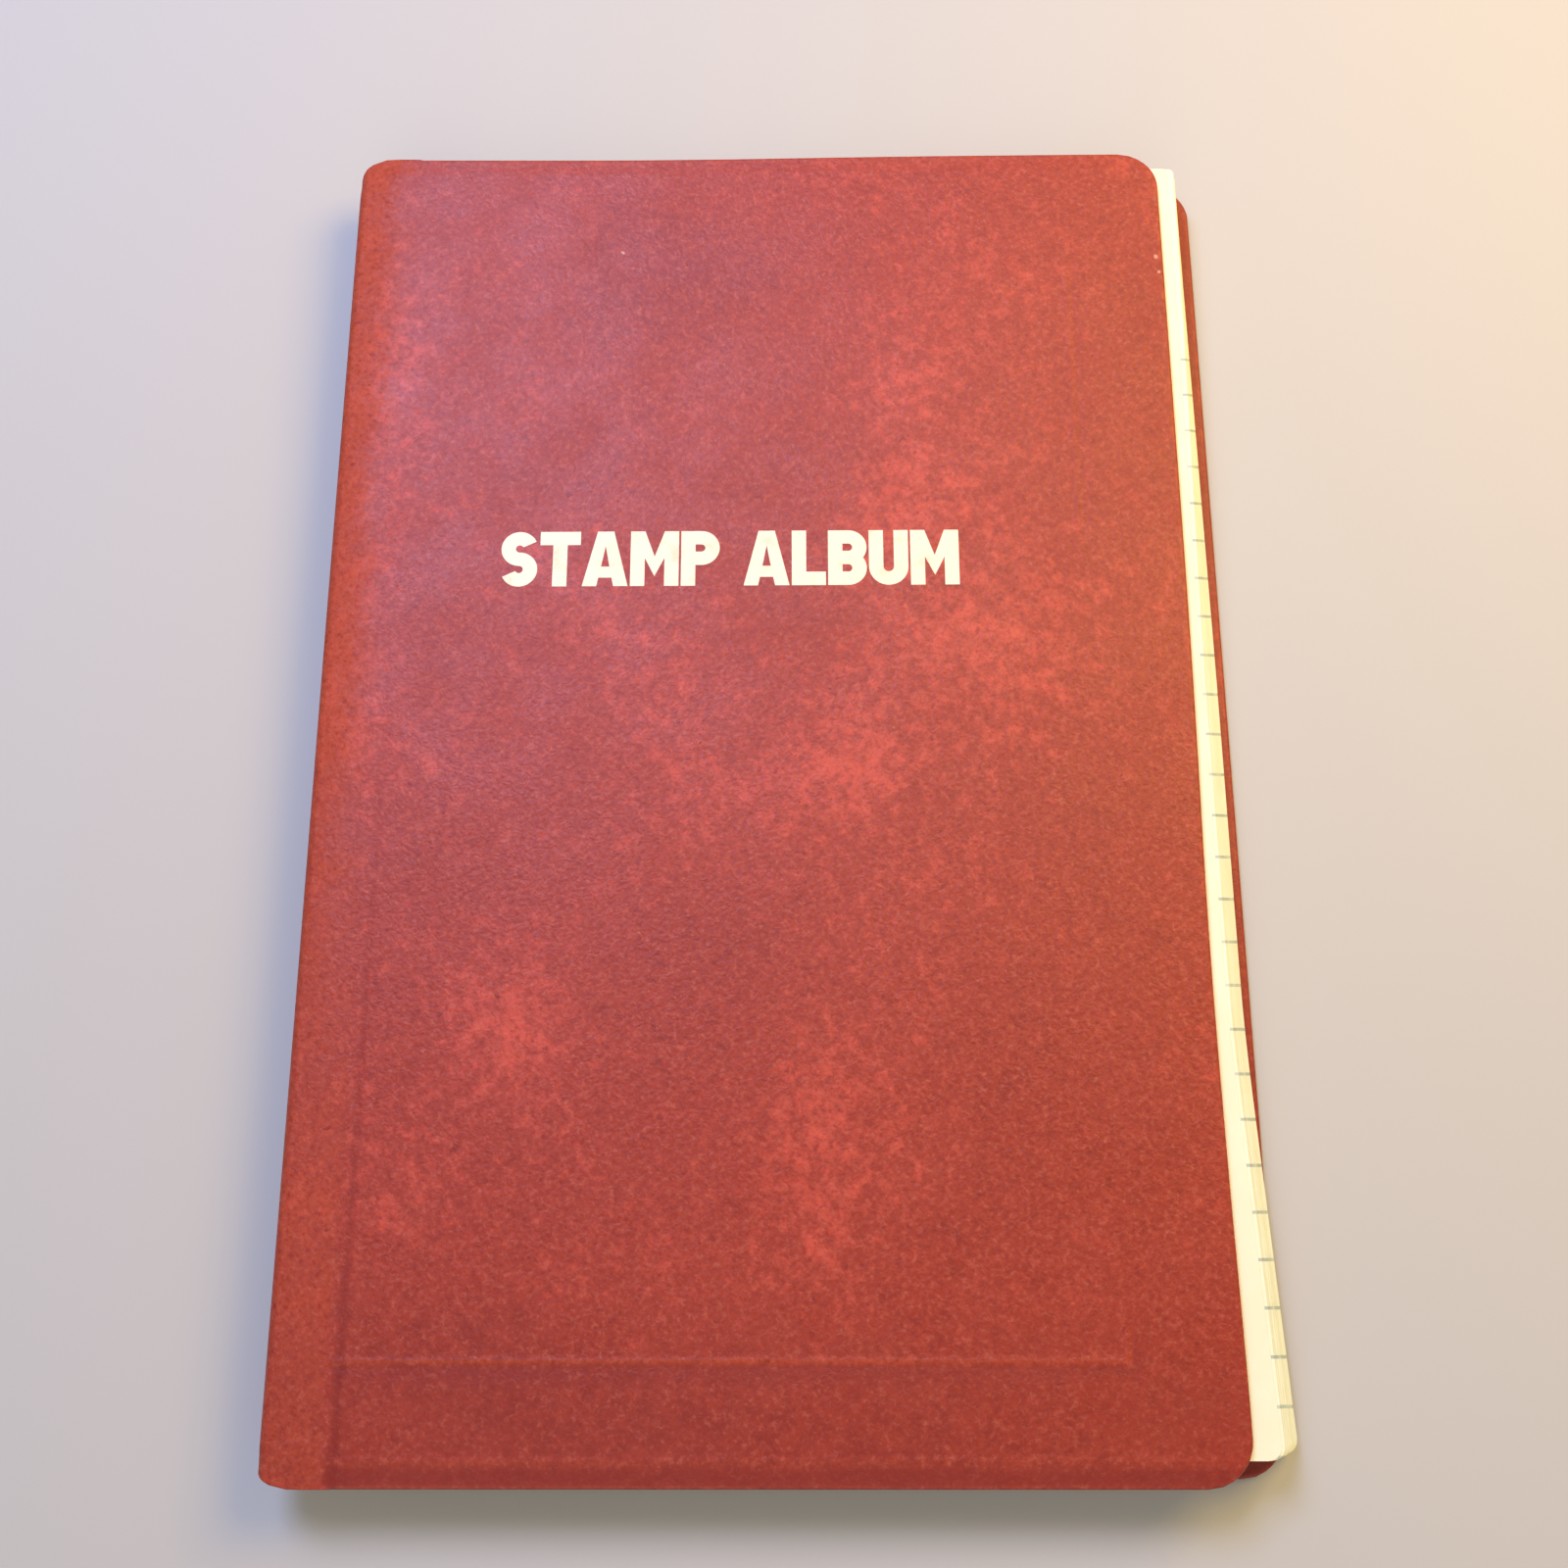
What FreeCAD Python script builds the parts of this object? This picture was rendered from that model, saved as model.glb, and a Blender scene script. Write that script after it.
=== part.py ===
"""Limp-bound stamp album: two flexible covers, a leaning spine and eight sewn sections of ruled leaves.

Frame: millimetres, +Z up, the closed album lying on its back cover. X runs from the spine to the
fore-edge, Y from the tail to the head, and the origin is under the middle of the whole closed album.
"""
import FreeCAD, Part
import Sketcher
import math
import os
from FreeCAD import Placement, Rotation, Vector

# ---------------------------------------------------------------- driving dimensions
SIZES = {
    "cover_height": 203.2,      # tail to head
    "front_width": 131.2,       # outer spine edge to fore-edge, front cover
    "back_width": 134.0,        # the same, back cover
    "album_width": 139.6,       # outer spine edge to the widest corner of the leaves
    "thickness": 10.0,          # table to the front cover's outer face
    "lean": 4.2,                # how far the spine slopes between the two covers
    "spine_radius": 1.8,        # rounding where the skin turns over the spine's two edges
    "crease_inset": 9.55,       # spine edge to the crease that each cover bends at
    "corner_radius": 6.35,      # fore-edge corners of the covers
    "skin": 0.40,               # leathercloth
    "card": 0.55,               # flexible cover card
    "turn_in": 0.20,            # leathercloth, pared where it is folded inside
    "turn_in_width": 15.9,
    "pastedown": 0.12,
    "pastedown_inset": 4.0,
    "mull": 0.15,               # open cloth glued over the sewn folds
    "mull_length": 186.0,
    "liner": 0.30,              # paper strip between the cloth and the skin
    "liner_length": 196.0,
    "clearance": 0.04,          # air between bodies that move apart
    "leaf_head": 99.4,
    "leaf_tail": 98.2,
    "leaf_slope": 0.55,         # sideways step of the leaves for each millimetre of height
    "fold_reach": 1.45,         # spine edge of the middle leaf, in from the front cover's spine edge
    "flare": 2.9,               # how much wider the leaves stand at the tail
    "flare_start": 41.0,        # distance of the flare's start from the middle, towards the tail
    "leaf_corner": 2.0,
    "flyleaf": 0.11,
    "sheet_gap": 0.010,
    "thread_radius": 0.11,
    "foil": 0.03,
    "cap_height": 9.0,
    "stroke": 2.2,
    "title_width": 70.0,
    "title_x": -8.1,            # middle of the title
    "title_y": 29.9,
}
SECTIONS = 8
SHEETS_PER_SECTION = 4
SEWING_STATIONS = (-84.0, -50.0, -38.0, -6.0, 6.0, 38.0, 50.0, 84.0)


class Size:
    """A length that carries its number and the spreadsheet expression that gives it."""

    def __init__(self, text, value):
        self.text = text
        self.value = value

    def _join(self, other, sign, value):
        other_text = other.text if isinstance(other, Size) else repr(other)
        return Size(f"({self.text} {sign} {other_text})", value)

    def __add__(self, other):
        return self._join(other, "+", self.value + number(other))

    def __sub__(self, other):
        return self._join(other, "-", self.value - number(other))

    def __mul__(self, other):
        return self._join(other, "*", self.value * number(other))

    def __neg__(self):
        return Size(f"(-{self.text})", -self.value)


def number(size):
    """The plain number of a Size or of a number."""
    return size.value if isinstance(size, Size) else float(size)


def size_of(alias):
    return Size(f"Sizes.{alias}", SIZES[alias])


def make_sheet(document):
    sheet = document.addObject("Spreadsheet::Sheet", "Sizes")
    for row, (alias, value) in enumerate(SIZES.items(), start=1):
        sheet.set(f"A{row}", alias)
        sheet.set(f"B{row}", str(value))
        sheet.setAlias(f"B{row}", alias)
    return sheet


def bind(thing, path, size):
    """Set a property to its number now and bind it to the spreadsheet."""
    if "." not in path:
        setattr(thing, path, number(size))
    if isinstance(size, Size):
        thing.setExpression(path, size.text)


# ---------------------------------------------------------------- places worked out from the sizes
FRONT_EDGE = -size_of("album_width") * 0.5
BACK_EDGE = FRONT_EDGE + size_of("lean")
COVER_STACK = size_of("skin") + size_of("card") + size_of("turn_in") + size_of("pastedown")
MIDDLE = number(size_of("thickness")) / 2
BLOCK_BOTTOM = number(COVER_STACK) + 2 * SIZES["clearance"] + SIZES["flyleaf"]
SECTION_PITCH = 2 * (MIDDLE - BLOCK_BOTTOM) / SECTIONS
SECTION_DEPTH = SECTION_PITCH - SIZES["clearance"]
SPINE_SIDE = number(FRONT_EDGE)
FORE_SIDE = -SPINE_SIDE


def section_bottom(section):
    """Height of a section's underside; section 1 is the top one."""
    return BLOCK_BOTTOM + (SECTIONS - section) * SECTION_PITCH + SIZES["clearance"] / 2


def fold_edge(height):
    """X of a leaf's folded edge at one height: the leaves lean the same way as the spine."""
    middle_fold = SPINE_SIDE + SIZES["fold_reach"] + SIZES["lean"] / 2
    return middle_fold - SIZES["leaf_slope"] * (height - MIDDLE)


def fore_edge(height):
    """X of a leaf's fore-edge at one height, above its flared tail."""
    lowest = FORE_SIDE - SIZES["flare"]
    return lowest - SIZES["leaf_slope"] * (height - section_bottom(SECTIONS))


# ---------------------------------------------------------------- covers
def origin_plane(body, role):
    return next(plane for plane in body.Origin.OriginFeatures if plane.Role == role)


def outline_sketch(body, name, left, right, half, radius, level):
    """Closed outline with square corners at the crease and two rounded corners at the fore-edge."""
    sketch = body.newObject("Sketcher::SketchObject", name)
    sketch.AttachmentSupport = [(origin_plane(body, "XY_Plane"), "")]
    sketch.MapMode = "FlatFace"
    bind(sketch, "AttachmentOffset.Base.z", level)
    x0, x1, y, r = (number(size) for size in (left, right, half, radius))
    quarter = math.pi / 2
    lower = sketch.addGeometry(Part.LineSegment(Vector(x0, -y, 0), Vector(x1 - r, -y, 0)))
    lower_arc = sketch.addGeometry(
        Part.ArcOfCircle(Part.Circle(Vector(x1 - r, r - y, 0), Vector(0, 0, 1), r), -quarter, 0)
    )
    fore = sketch.addGeometry(Part.LineSegment(Vector(x1, r - y, 0), Vector(x1, y - r, 0)))
    upper_arc = sketch.addGeometry(
        Part.ArcOfCircle(Part.Circle(Vector(x1 - r, y - r, 0), Vector(0, 0, 1), r), 0, quarter)
    )
    upper = sketch.addGeometry(Part.LineSegment(Vector(x1 - r, y, 0), Vector(x0, y, 0)))
    crease = sketch.addGeometry(Part.LineSegment(Vector(x0, y, 0), Vector(x0, -y, 0)))
    for first, first_end, second, second_end in (
        (lower, 2, lower_arc, 1),
        (lower_arc, 2, fore, 1),
        (fore, 2, upper_arc, 1),
        (upper_arc, 2, upper, 1),
    ):
        sketch.addConstraint(Sketcher.Constraint("Tangent", first, first_end, second, second_end))
    sketch.addConstraint(Sketcher.Constraint("Coincident", upper, 2, crease, 1))
    sketch.addConstraint(Sketcher.Constraint("Coincident", crease, 2, lower, 1))
    sketch.addConstraint(Sketcher.Constraint("Horizontal", lower))
    sketch.addConstraint(Sketcher.Constraint("Vertical", crease))
    sketch.addConstraint(Sketcher.Constraint("Equal", lower_arc, upper_arc))
    driving = (
        (Sketcher.Constraint("DistanceX", -1, 1, lower, 1, x0), left),
        (Sketcher.Constraint("DistanceX", -1, 1, fore, 1, x1), right),
        (Sketcher.Constraint("DistanceY", -1, 1, upper, 2, y), half),
        (Sketcher.Constraint("DistanceY", lower, 1, -1, 1, y), half),
        (Sketcher.Constraint("Radius", lower_arc, r), radius),
    )
    for constraint, size in driving:
        index = sketch.addConstraint(constraint)
        sketch.setExpression(f"Constraints[{index}]", size.text)
    return sketch


def pad(body, name, sketch, height):
    feature = body.newObject("PartDesign::Pad", name)
    feature.Profile = sketch
    bind(feature, "Length", height)
    return feature


def pocket(body, name, sketch, depth):
    """Cut from the sketch's own level downwards."""
    feature = body.newObject("PartDesign::Pocket", name)
    feature.Profile = sketch
    bind(feature, "Length", depth)
    return feature


def cover_body(document, node, left, right, inset, level, height, placement):
    """One flat layer of a cover, its outline drawn in from the cover's by inset."""
    body = document.addObject("PartDesign::Body", node)
    half = size_of("cover_height") * 0.5 - inset
    radius = size_of("corner_radius") - inset
    sketch = outline_sketch(body, node + "_outline", left, right - inset, half, radius, level)
    pad(body, node + "_pad", sketch, height)
    body.Placement = placement
    return body


def cover_skin(document, node, left, right, placement):
    """Leathercloth: outer sheet, wrapped edge and turned-in border; open at the crease."""
    skin, card = size_of("skin"), size_of("card")
    flat = size_of("skin") * 0.0
    whole = skin + card + size_of("turn_in")
    body = cover_body(document, node, left, right, flat, flat, whole, placement)
    half = size_of("cover_height") * 0.5
    radius = size_of("corner_radius")
    inner = outline_sketch(
        body, node + "_card_bed", left, right - skin, half - skin, radius - skin, skin + card
    )
    pocket(body, node + "_card_pocket", inner, card)
    width = size_of("turn_in_width")
    window = outline_sketch(
        body, node + "_window", left, right - width, half - width, size_of("leaf_corner"), whole
    )
    pocket(body, node + "_window_pocket", window, size_of("turn_in"))
    return body


def cover(document, side, edge, width, placement):
    """The layers of one cover, from its outer face inwards."""
    left = edge + size_of("crease_inset") + size_of("clearance")
    right = edge + width
    skin, card, turn_in = size_of("skin"), size_of("card"), size_of("turn_in")
    return [
        cover_skin(document, f"{side}_cover_skin", left, right, placement),
        cover_body(document, f"{side}_cover_card", left, right, skin, skin, card, placement),
        cover_body(
            document,
            f"{side}_pastedown",
            left,
            right,
            size_of("pastedown_inset"),
            skin + card + turn_in,
            size_of("pastedown"),
            placement,
        ),
    ]


# ---------------------------------------------------------------- spine
def spine_layer(document, node, length, depth, thick, top_end, bottom_end):
    """A sheet that wraps the leaning spine, at one depth below the skin's outer face.

    Its section is two straight bands joined by two arcs and one sloping straight, and the inner
    face follows the outer one at the layer's thickness.
    """
    radius = SIZES["spine_radius"]
    top = Vector(SPINE_SIDE + radius, 0, SIZES["thickness"] - radius)
    bottom = Vector(number(BACK_EDGE) + radius, 0, radius)
    along = (bottom - top).normalize()
    outward = Vector(along.z, 0, -along.x)
    up, down, left = Vector(0, 0, 1), Vector(0, 0, -1), Vector(-1, 0, 0)

    def face_line(offset):
        """Edges of one face of the layer, from the front crease round to the back crease."""
        corner_top = top + up * offset
        corner_bottom = bottom + down * offset
        start = Vector(top_end, 0, corner_top.z)
        end = Vector(bottom_end, 0, corner_bottom.z)
        low_middle = (down + outward).normalize()
        return [
            Part.LineSegment(start, corner_top).toShape(),
            Part.Arc(corner_top, top + left * offset, top + outward * offset).toShape(),
            Part.LineSegment(top + outward * offset, bottom + outward * offset).toShape(),
            Part.Arc(bottom + outward * offset, bottom + low_middle * offset, corner_bottom).toShape(),
            Part.LineSegment(corner_bottom, end).toShape(),
        ], start, end

    outer, outer_start, outer_end = face_line(radius - depth)
    inner, inner_start, inner_end = face_line(radius - depth - thick)
    ends = [
        Part.LineSegment(outer_end, inner_end).toShape(),
        Part.LineSegment(inner_start, outer_start).toShape(),
    ]
    wire = Part.Wire(Part.__sortEdges__(outer + inner + ends))
    solid = Part.Face(wire).extrude(Vector(0, length, 0))
    return placed_feature(document, node, solid, Vector(0, -length / 2, 0))


def placed_feature(document, node, shape, place):
    feature = document.addObject("Part::Feature", node)
    feature.Shape = shape
    feature.Placement = Placement(place, Rotation())
    return feature


def spine(document):
    front_crease = SPINE_SIDE + SIZES["crease_inset"]
    back_crease = number(BACK_EDGE) + SIZES["crease_inset"]
    skin, liner, seam = SIZES["skin"], SIZES["liner"], SIZES["sheet_gap"]
    band = SIZES["crease_inset"] / 2
    layers = (
        ("spine_skin", "cover_height", 0.0, skin, 0.0),
        ("spine_liner", "liner_length", skin + seam, liner, band),
        ("spine_mull", "mull_length", skin + liner + 2 * seam, SIZES["mull"], 0.0),
    )
    return [
        spine_layer(document, node, SIZES[length], depth, thick, front_crease - short, back_crease - short)
        for node, length, depth, thick, short in layers
    ]


# ---------------------------------------------------------------- leaves
def leaf_prism(fold, fore, depth):
    """Leaf outline as a prism: straight at the fold, flared towards the tail at the fore-edge."""
    head, tail = SIZES["leaf_head"], -SIZES["leaf_tail"]
    corners = [
        Vector(fold, tail, 0),
        Vector(fore + SIZES["flare"], tail, 0),
        Vector(fore, -SIZES["flare_start"], 0),
        Vector(fore, head, 0),
        Vector(fold, head, 0),
    ]
    solid = Part.Face(Part.makePolygon(corners + corners[:1])).extrude(Vector(0, 0, depth))
    outer_corner = [
        edge
        for edge in solid.Edges
        if all((vertex.Point - corners[1]).Length < depth + 0.001 for vertex in edge.Vertexes)
        and abs(edge.tangentAt(edge.FirstParameter).z) > 0.99
    ]
    return solid.makeFillet(SIZES["leaf_corner"], outer_corner)


def folded_sheet(fold, reach, low, high, paper):
    """One folded sheet: two leaves joined at the spine by the fold."""
    profile = [
        Vector(fold, 0, low),
        Vector(reach, 0, low),
        Vector(reach, 0, low + paper),
        Vector(fold + paper, 0, low + paper),
        Vector(fold + paper, 0, high - paper),
        Vector(reach, 0, high - paper),
        Vector(reach, 0, high),
        Vector(fold, 0, high),
    ]
    length = SIZES["leaf_head"] + SIZES["leaf_tail"]
    sheet = Part.Face(Part.makePolygon(profile + profile[:1])).extrude(Vector(0, length, 0))
    sheet.translate(Vector(0, -SIZES["leaf_tail"], 0))
    return sheet


def section(document, index):
    """Sheets folded one inside the next, cut to the leaves' outline."""
    bottom = section_bottom(index)
    fold, fore = fold_edge(bottom), fore_edge(bottom)
    pitch = SECTION_DEPTH / (2 * SHEETS_PER_SECTION)
    outline = leaf_prism(fold, fore, SECTION_DEPTH)
    outline.translate(Vector(0, 0, bottom))
    reach = fore + 2 * SIZES["flare"]
    sheets = []
    for nested in range(SHEETS_PER_SECTION):
        inset = nested * pitch
        sheet = folded_sheet(
            fold + inset,
            reach,
            bottom + inset,
            bottom + SECTION_DEPTH - inset,
            pitch - SIZES["sheet_gap"],
        )
        sheets.append(sheet.common(outline).Solids[0])
    return placed_feature(document, f"section_{index}", Part.makeCompound(sheets), Vector(0, 0, 0))


def thread(document, index):
    """Sewing: long stitches inside the fold and short ones outside it, joined through the folds."""
    radius = SIZES["thread_radius"]
    height = section_bottom(index) + SECTION_DEPTH / 2
    inside = fold_edge(section_bottom(index)) + SECTION_DEPTH / 2 + radius
    outside = fold_edge(section_bottom(index)) - radius
    stitches = []
    for number_along, (start, end) in enumerate(zip(SEWING_STATIONS, SEWING_STATIONS[1:])):
        across = inside if number_along % 2 == 0 else outside
        from_station = Vector(across, start, height)
        stitches.append(Part.makeCylinder(radius, end - start, from_station, Vector(0, 1, 0)))
    for station in SEWING_STATIONS:
        through = Part.makeCylinder(
            radius, inside - outside, Vector(outside, station, height), Vector(1, 0, 0)
        )
        stitches.append(through)
        stitches += [Part.makeSphere(radius, Vector(end, station, height)) for end in (inside, outside)]
    whole = stitches[0].multiFuse(stitches[1:])
    return placed_feature(document, f"thread_{index}", whole, Vector(0, 0, 0))


def flyleaf(document, node, bottom):
    leaf = leaf_prism(fold_edge(bottom), fore_edge(bottom), SIZES["flyleaf"])
    return placed_feature(document, node, leaf, Vector(0, 0, bottom))


# ---------------------------------------------------------------- title
def bar(x, y, width, height):
    return Part.makeBox(width, height, SIZES["foil"], Vector(x, y, 0))


def plate(*points):
    corners = [Vector(x, y, 0) for x, y in points]
    return Part.Face(Part.makePolygon(corners + corners[:1])).extrude(Vector(0, 0, SIZES["foil"]))


def ring(x, y, outer, start, sweep):
    """Part of a ring one stroke wide, from start degrees through sweep degrees."""
    inner = outer - SIZES["stroke"]
    up = Vector(0, 0, 1)
    sector = Part.makeCylinder(outer, SIZES["foil"], Vector(x, y, 0), up, sweep)
    if inner > 0:
        sector = sector.cut(Part.makeCylinder(inner, SIZES["foil"], Vector(x, y, 0), up))
    sector.rotate(Vector(x, y, 0), up, start)
    return sector


def letter_s(tall, stroke):
    outer = (tall + stroke) / 4
    return [ring(outer, tall - outer, outer, 25, 245), ring(outer, outer, outer, -155, 245)], 2 * outer


def letter_t(tall, stroke):
    width = 6.2
    return [bar(0, tall - stroke, width, stroke), bar((width - stroke) / 2, 0, stroke, tall)], width


def letter_a(tall, stroke):
    width, top = 7.0, 2.5
    outer = plate((0, 0), ((width - top) / 2, tall), ((width + top) / 2, tall), (width, 0))
    legs = plate((2.2, 0), (2.5, 1.4), (width - 2.5, 1.4), (width - 2.2, 0))
    hole = plate((2.85, 3.2), (width / 2, 6.6), (width - 2.85, 3.2))
    return [outer.cut(legs).cut(hole)], width


def letter_m(tall, stroke):
    width, notch = 7.4, 4.2
    left = bar(0, 0, stroke, tall)
    right = bar(width - stroke, 0, stroke, tall)
    valley = plate(
        (0, tall),
        (stroke, tall),
        (width / 2, tall - notch),
        (width - stroke, tall),
        (width, tall),
        (width / 2, tall - notch - 3.2),
    )
    return [left, right, valley], width


def bowl(tall, stroke, low):
    """Half ring with its two short bars, as P and B have; low is its underside."""
    outer = (tall + stroke) / 4
    centre = 5.9 - outer
    bars = [bar(0, low, centre, stroke), bar(0, low + 2 * outer - stroke, centre, stroke)]
    return bars + [ring(centre, low + outer, outer, -90, 180)]


def letter_p(tall, stroke):
    return [bar(0, 0, stroke, tall)] + bowl(tall, stroke, (tall - stroke) / 2), 5.9


def letter_b(tall, stroke):
    lower = bowl(tall, stroke, 0)
    return [bar(0, 0, stroke, tall)] + lower + bowl(tall, stroke, (tall - stroke) / 2), 5.9


def letter_l(tall, stroke):
    return [bar(0, 0, stroke, tall), bar(0, 0, 5.2, stroke)], 5.2


def letter_u(tall, stroke):
    outer = 3.0
    sides = [bar(0, outer, stroke, tall - outer), bar(2 * outer - stroke, outer, stroke, tall - outer)]
    return sides + [ring(outer, outer, outer, 180, 180)], 2 * outer


def title_foil(document):
    """Foil letters pressed on the front cover, spread evenly over the title's width."""
    letters = [letter_s, letter_t, letter_a, letter_m, letter_p, None]
    letters += [letter_a, letter_l, letter_b, letter_u, letter_m]
    tall, stroke, word_space = SIZES["cap_height"], SIZES["stroke"], 3.0
    drawn = [letter(tall, stroke) if letter else ([], word_space) for letter in letters]
    widths = sum(width for _, width in drawn)
    letter_space = (SIZES["title_width"] - widths) / (len(drawn) - 1)
    across = SIZES["title_x"] - SIZES["title_width"] / 2
    solids = []
    for pieces, width in drawn:
        if pieces:
            shape = pieces[0].multiFuse(pieces[1:]).removeSplitter() if pieces[1:] else pieces[0]
            shape.translate(Vector(across, 0, 0))
            solids += shape.Solids
        across += width + letter_space
    place = Vector(0, SIZES["title_y"] - tall / 2, SIZES["thickness"])
    return placed_feature(document, "title_foil", Part.makeCompound(solids), place)


# ---------------------------------------------------------------- assembly and output
def check(document, parts):
    """Stop on any failed object or invalid shape before a file is written."""
    for thing in document.Objects:
        if {"Invalid", "Error"} & set(thing.State):
            raise RuntimeError(f"{thing.Label} is {thing.State}")
    for part in parts:
        if part.Shape.isNull() or not part.Shape.isValid():
            raise RuntimeError(f"{part.Label} has no valid shape")


def main():
    document = FreeCAD.newDocument("stamp_album")
    make_sheet(document)
    document.recompute()
    turned_over = Rotation(Vector(1, 0, 0), 180)
    front_place = Placement(Vector(0, 0, SIZES["thickness"]), turned_over)
    parts = cover(document, "front", FRONT_EDGE, size_of("front_width"), front_place)
    parts += cover(document, "back", BACK_EDGE, size_of("back_width"), Placement())
    parts += spine(document)
    for index in range(1, SECTIONS + 1):
        parts += [section(document, index), thread(document, index)]
    inner_face = number(COVER_STACK) + SIZES["clearance"]
    parts.append(flyleaf(document, "back_flyleaf", inner_face))
    parts.append(flyleaf(document, "front_flyleaf", SIZES["thickness"] - inner_face - SIZES["flyleaf"]))
    parts.append(title_foil(document))
    document.recompute()
    check(document, parts)
    os.makedirs("parts", exist_ok=True)
    for part in parts:
        part.Shape.exportStep(f"parts/{part.Label}.step")
        box = part.Shape.BoundBox
        print(
            f"{part.Label:18s} {len(part.Shape.Solids)} solids {part.Shape.Volume:9.1f} mm3 "
            f"X {box.XMin:8.2f} {box.XMax:8.2f} Y {box.YMin:8.2f} {box.YMax:8.2f} "
            f"Z {box.ZMin:6.3f} {box.ZMax:6.3f}"
        )


main()
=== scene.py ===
"""Limp-bound album in red leathercloth: covers, spine, sewn sections of ruled leaves and a foil title.

All places are in metres in the row frame: X from the spine to the fore-edge, Y from the tail to
the head, Z up out of the front cover. Fields of the classes are in millimetres, as a binder
would write them, and MM turns them into metres where a mesh is made.
"""

import logging
import math
from dataclasses import dataclass, field
from enum import Enum
from typing import Callable, Iterable, Union

import bpy
import numpy as np
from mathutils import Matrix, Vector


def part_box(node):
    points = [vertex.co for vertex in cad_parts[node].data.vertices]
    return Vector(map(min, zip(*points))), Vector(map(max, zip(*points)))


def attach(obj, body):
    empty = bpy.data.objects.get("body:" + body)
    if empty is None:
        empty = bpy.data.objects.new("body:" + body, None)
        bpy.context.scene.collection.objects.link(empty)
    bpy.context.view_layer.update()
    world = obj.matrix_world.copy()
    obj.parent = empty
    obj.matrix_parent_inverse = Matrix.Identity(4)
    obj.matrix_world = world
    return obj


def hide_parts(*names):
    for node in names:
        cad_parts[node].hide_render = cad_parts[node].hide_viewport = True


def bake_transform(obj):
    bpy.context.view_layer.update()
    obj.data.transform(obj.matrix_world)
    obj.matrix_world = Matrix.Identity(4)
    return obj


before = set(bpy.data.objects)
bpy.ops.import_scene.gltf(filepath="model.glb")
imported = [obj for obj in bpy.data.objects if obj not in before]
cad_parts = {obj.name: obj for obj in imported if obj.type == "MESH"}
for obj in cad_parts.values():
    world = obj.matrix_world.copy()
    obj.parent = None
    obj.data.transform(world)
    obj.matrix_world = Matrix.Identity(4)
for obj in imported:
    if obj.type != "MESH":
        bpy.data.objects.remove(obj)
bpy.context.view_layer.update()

MM = 0.001
RIM_SHARE = 0.97  # a rim rounds over this share of half its thickness, so its faces never meet
SHARP_ANGLE = math.radians(55.0)
LOG = logging.getLogger("album")
Colour = tuple[float, float, float, float]
Triple = tuple[float, float, float]
Patch = tuple[float, float, float, float, float]  # centre across and along, width, height, strength
Socket = bpy.types.NodeSocket
Sockets = dict[str, Socket]
Feed = Union[Socket, float, tuple]


# ---------------------------------------------------------------- small sums
def smoothstep(low: float, high: float, value: np.ndarray) -> np.ndarray:
    """Rise from 0 to 1 between low and high along 3t^2 - 2t^3.

    Args:
        low: Where the rise starts.
        high: Where it ends; it may be below low, which turns the rise into a fall.
        value: Points to measure.

    Returns:
        The height of the curve at each point.
    """
    t = np.clip((np.asarray(value, float) - low) / (high - low), 0.0, 1.0)
    return t * t * (3.0 - 2.0 * t)


def hump(centre: float, width: float, value: np.ndarray) -> np.ndarray:
    """Bell curve exp(-((value - centre) / width)^2).

    Args:
        centre: Where the bell is 1.
        width: Distance at which it has fallen to 1/e.
        value: Points to measure.

    Returns:
        The bell's height at each point.
    """
    return np.exp(-(((np.asarray(value, float) - centre) / width) ** 2))


def arc_fall(radius: np.ndarray | float, edge: np.ndarray) -> np.ndarray:
    """Fall of a quarter round of radius r at distance e in from its edge.

    It is r - sqrt(r^2 - (r - e)^2) near the edge, and nothing further in than r.

    Args:
        radius: Radius of the round.
        edge: Distances in from the edge.

    Returns:
        How far the round lies below its flat.
    """
    over = np.clip(radius - edge, 0.0, radius)
    return radius - np.sqrt(radius**2 - over**2)


def node_box(node: str) -> tuple[np.ndarray, np.ndarray]:
    """Lowest and highest corners of a CAD node, in millimetres."""
    low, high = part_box(node)
    return np.array(low) / MM, np.array(high) / MM


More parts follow.
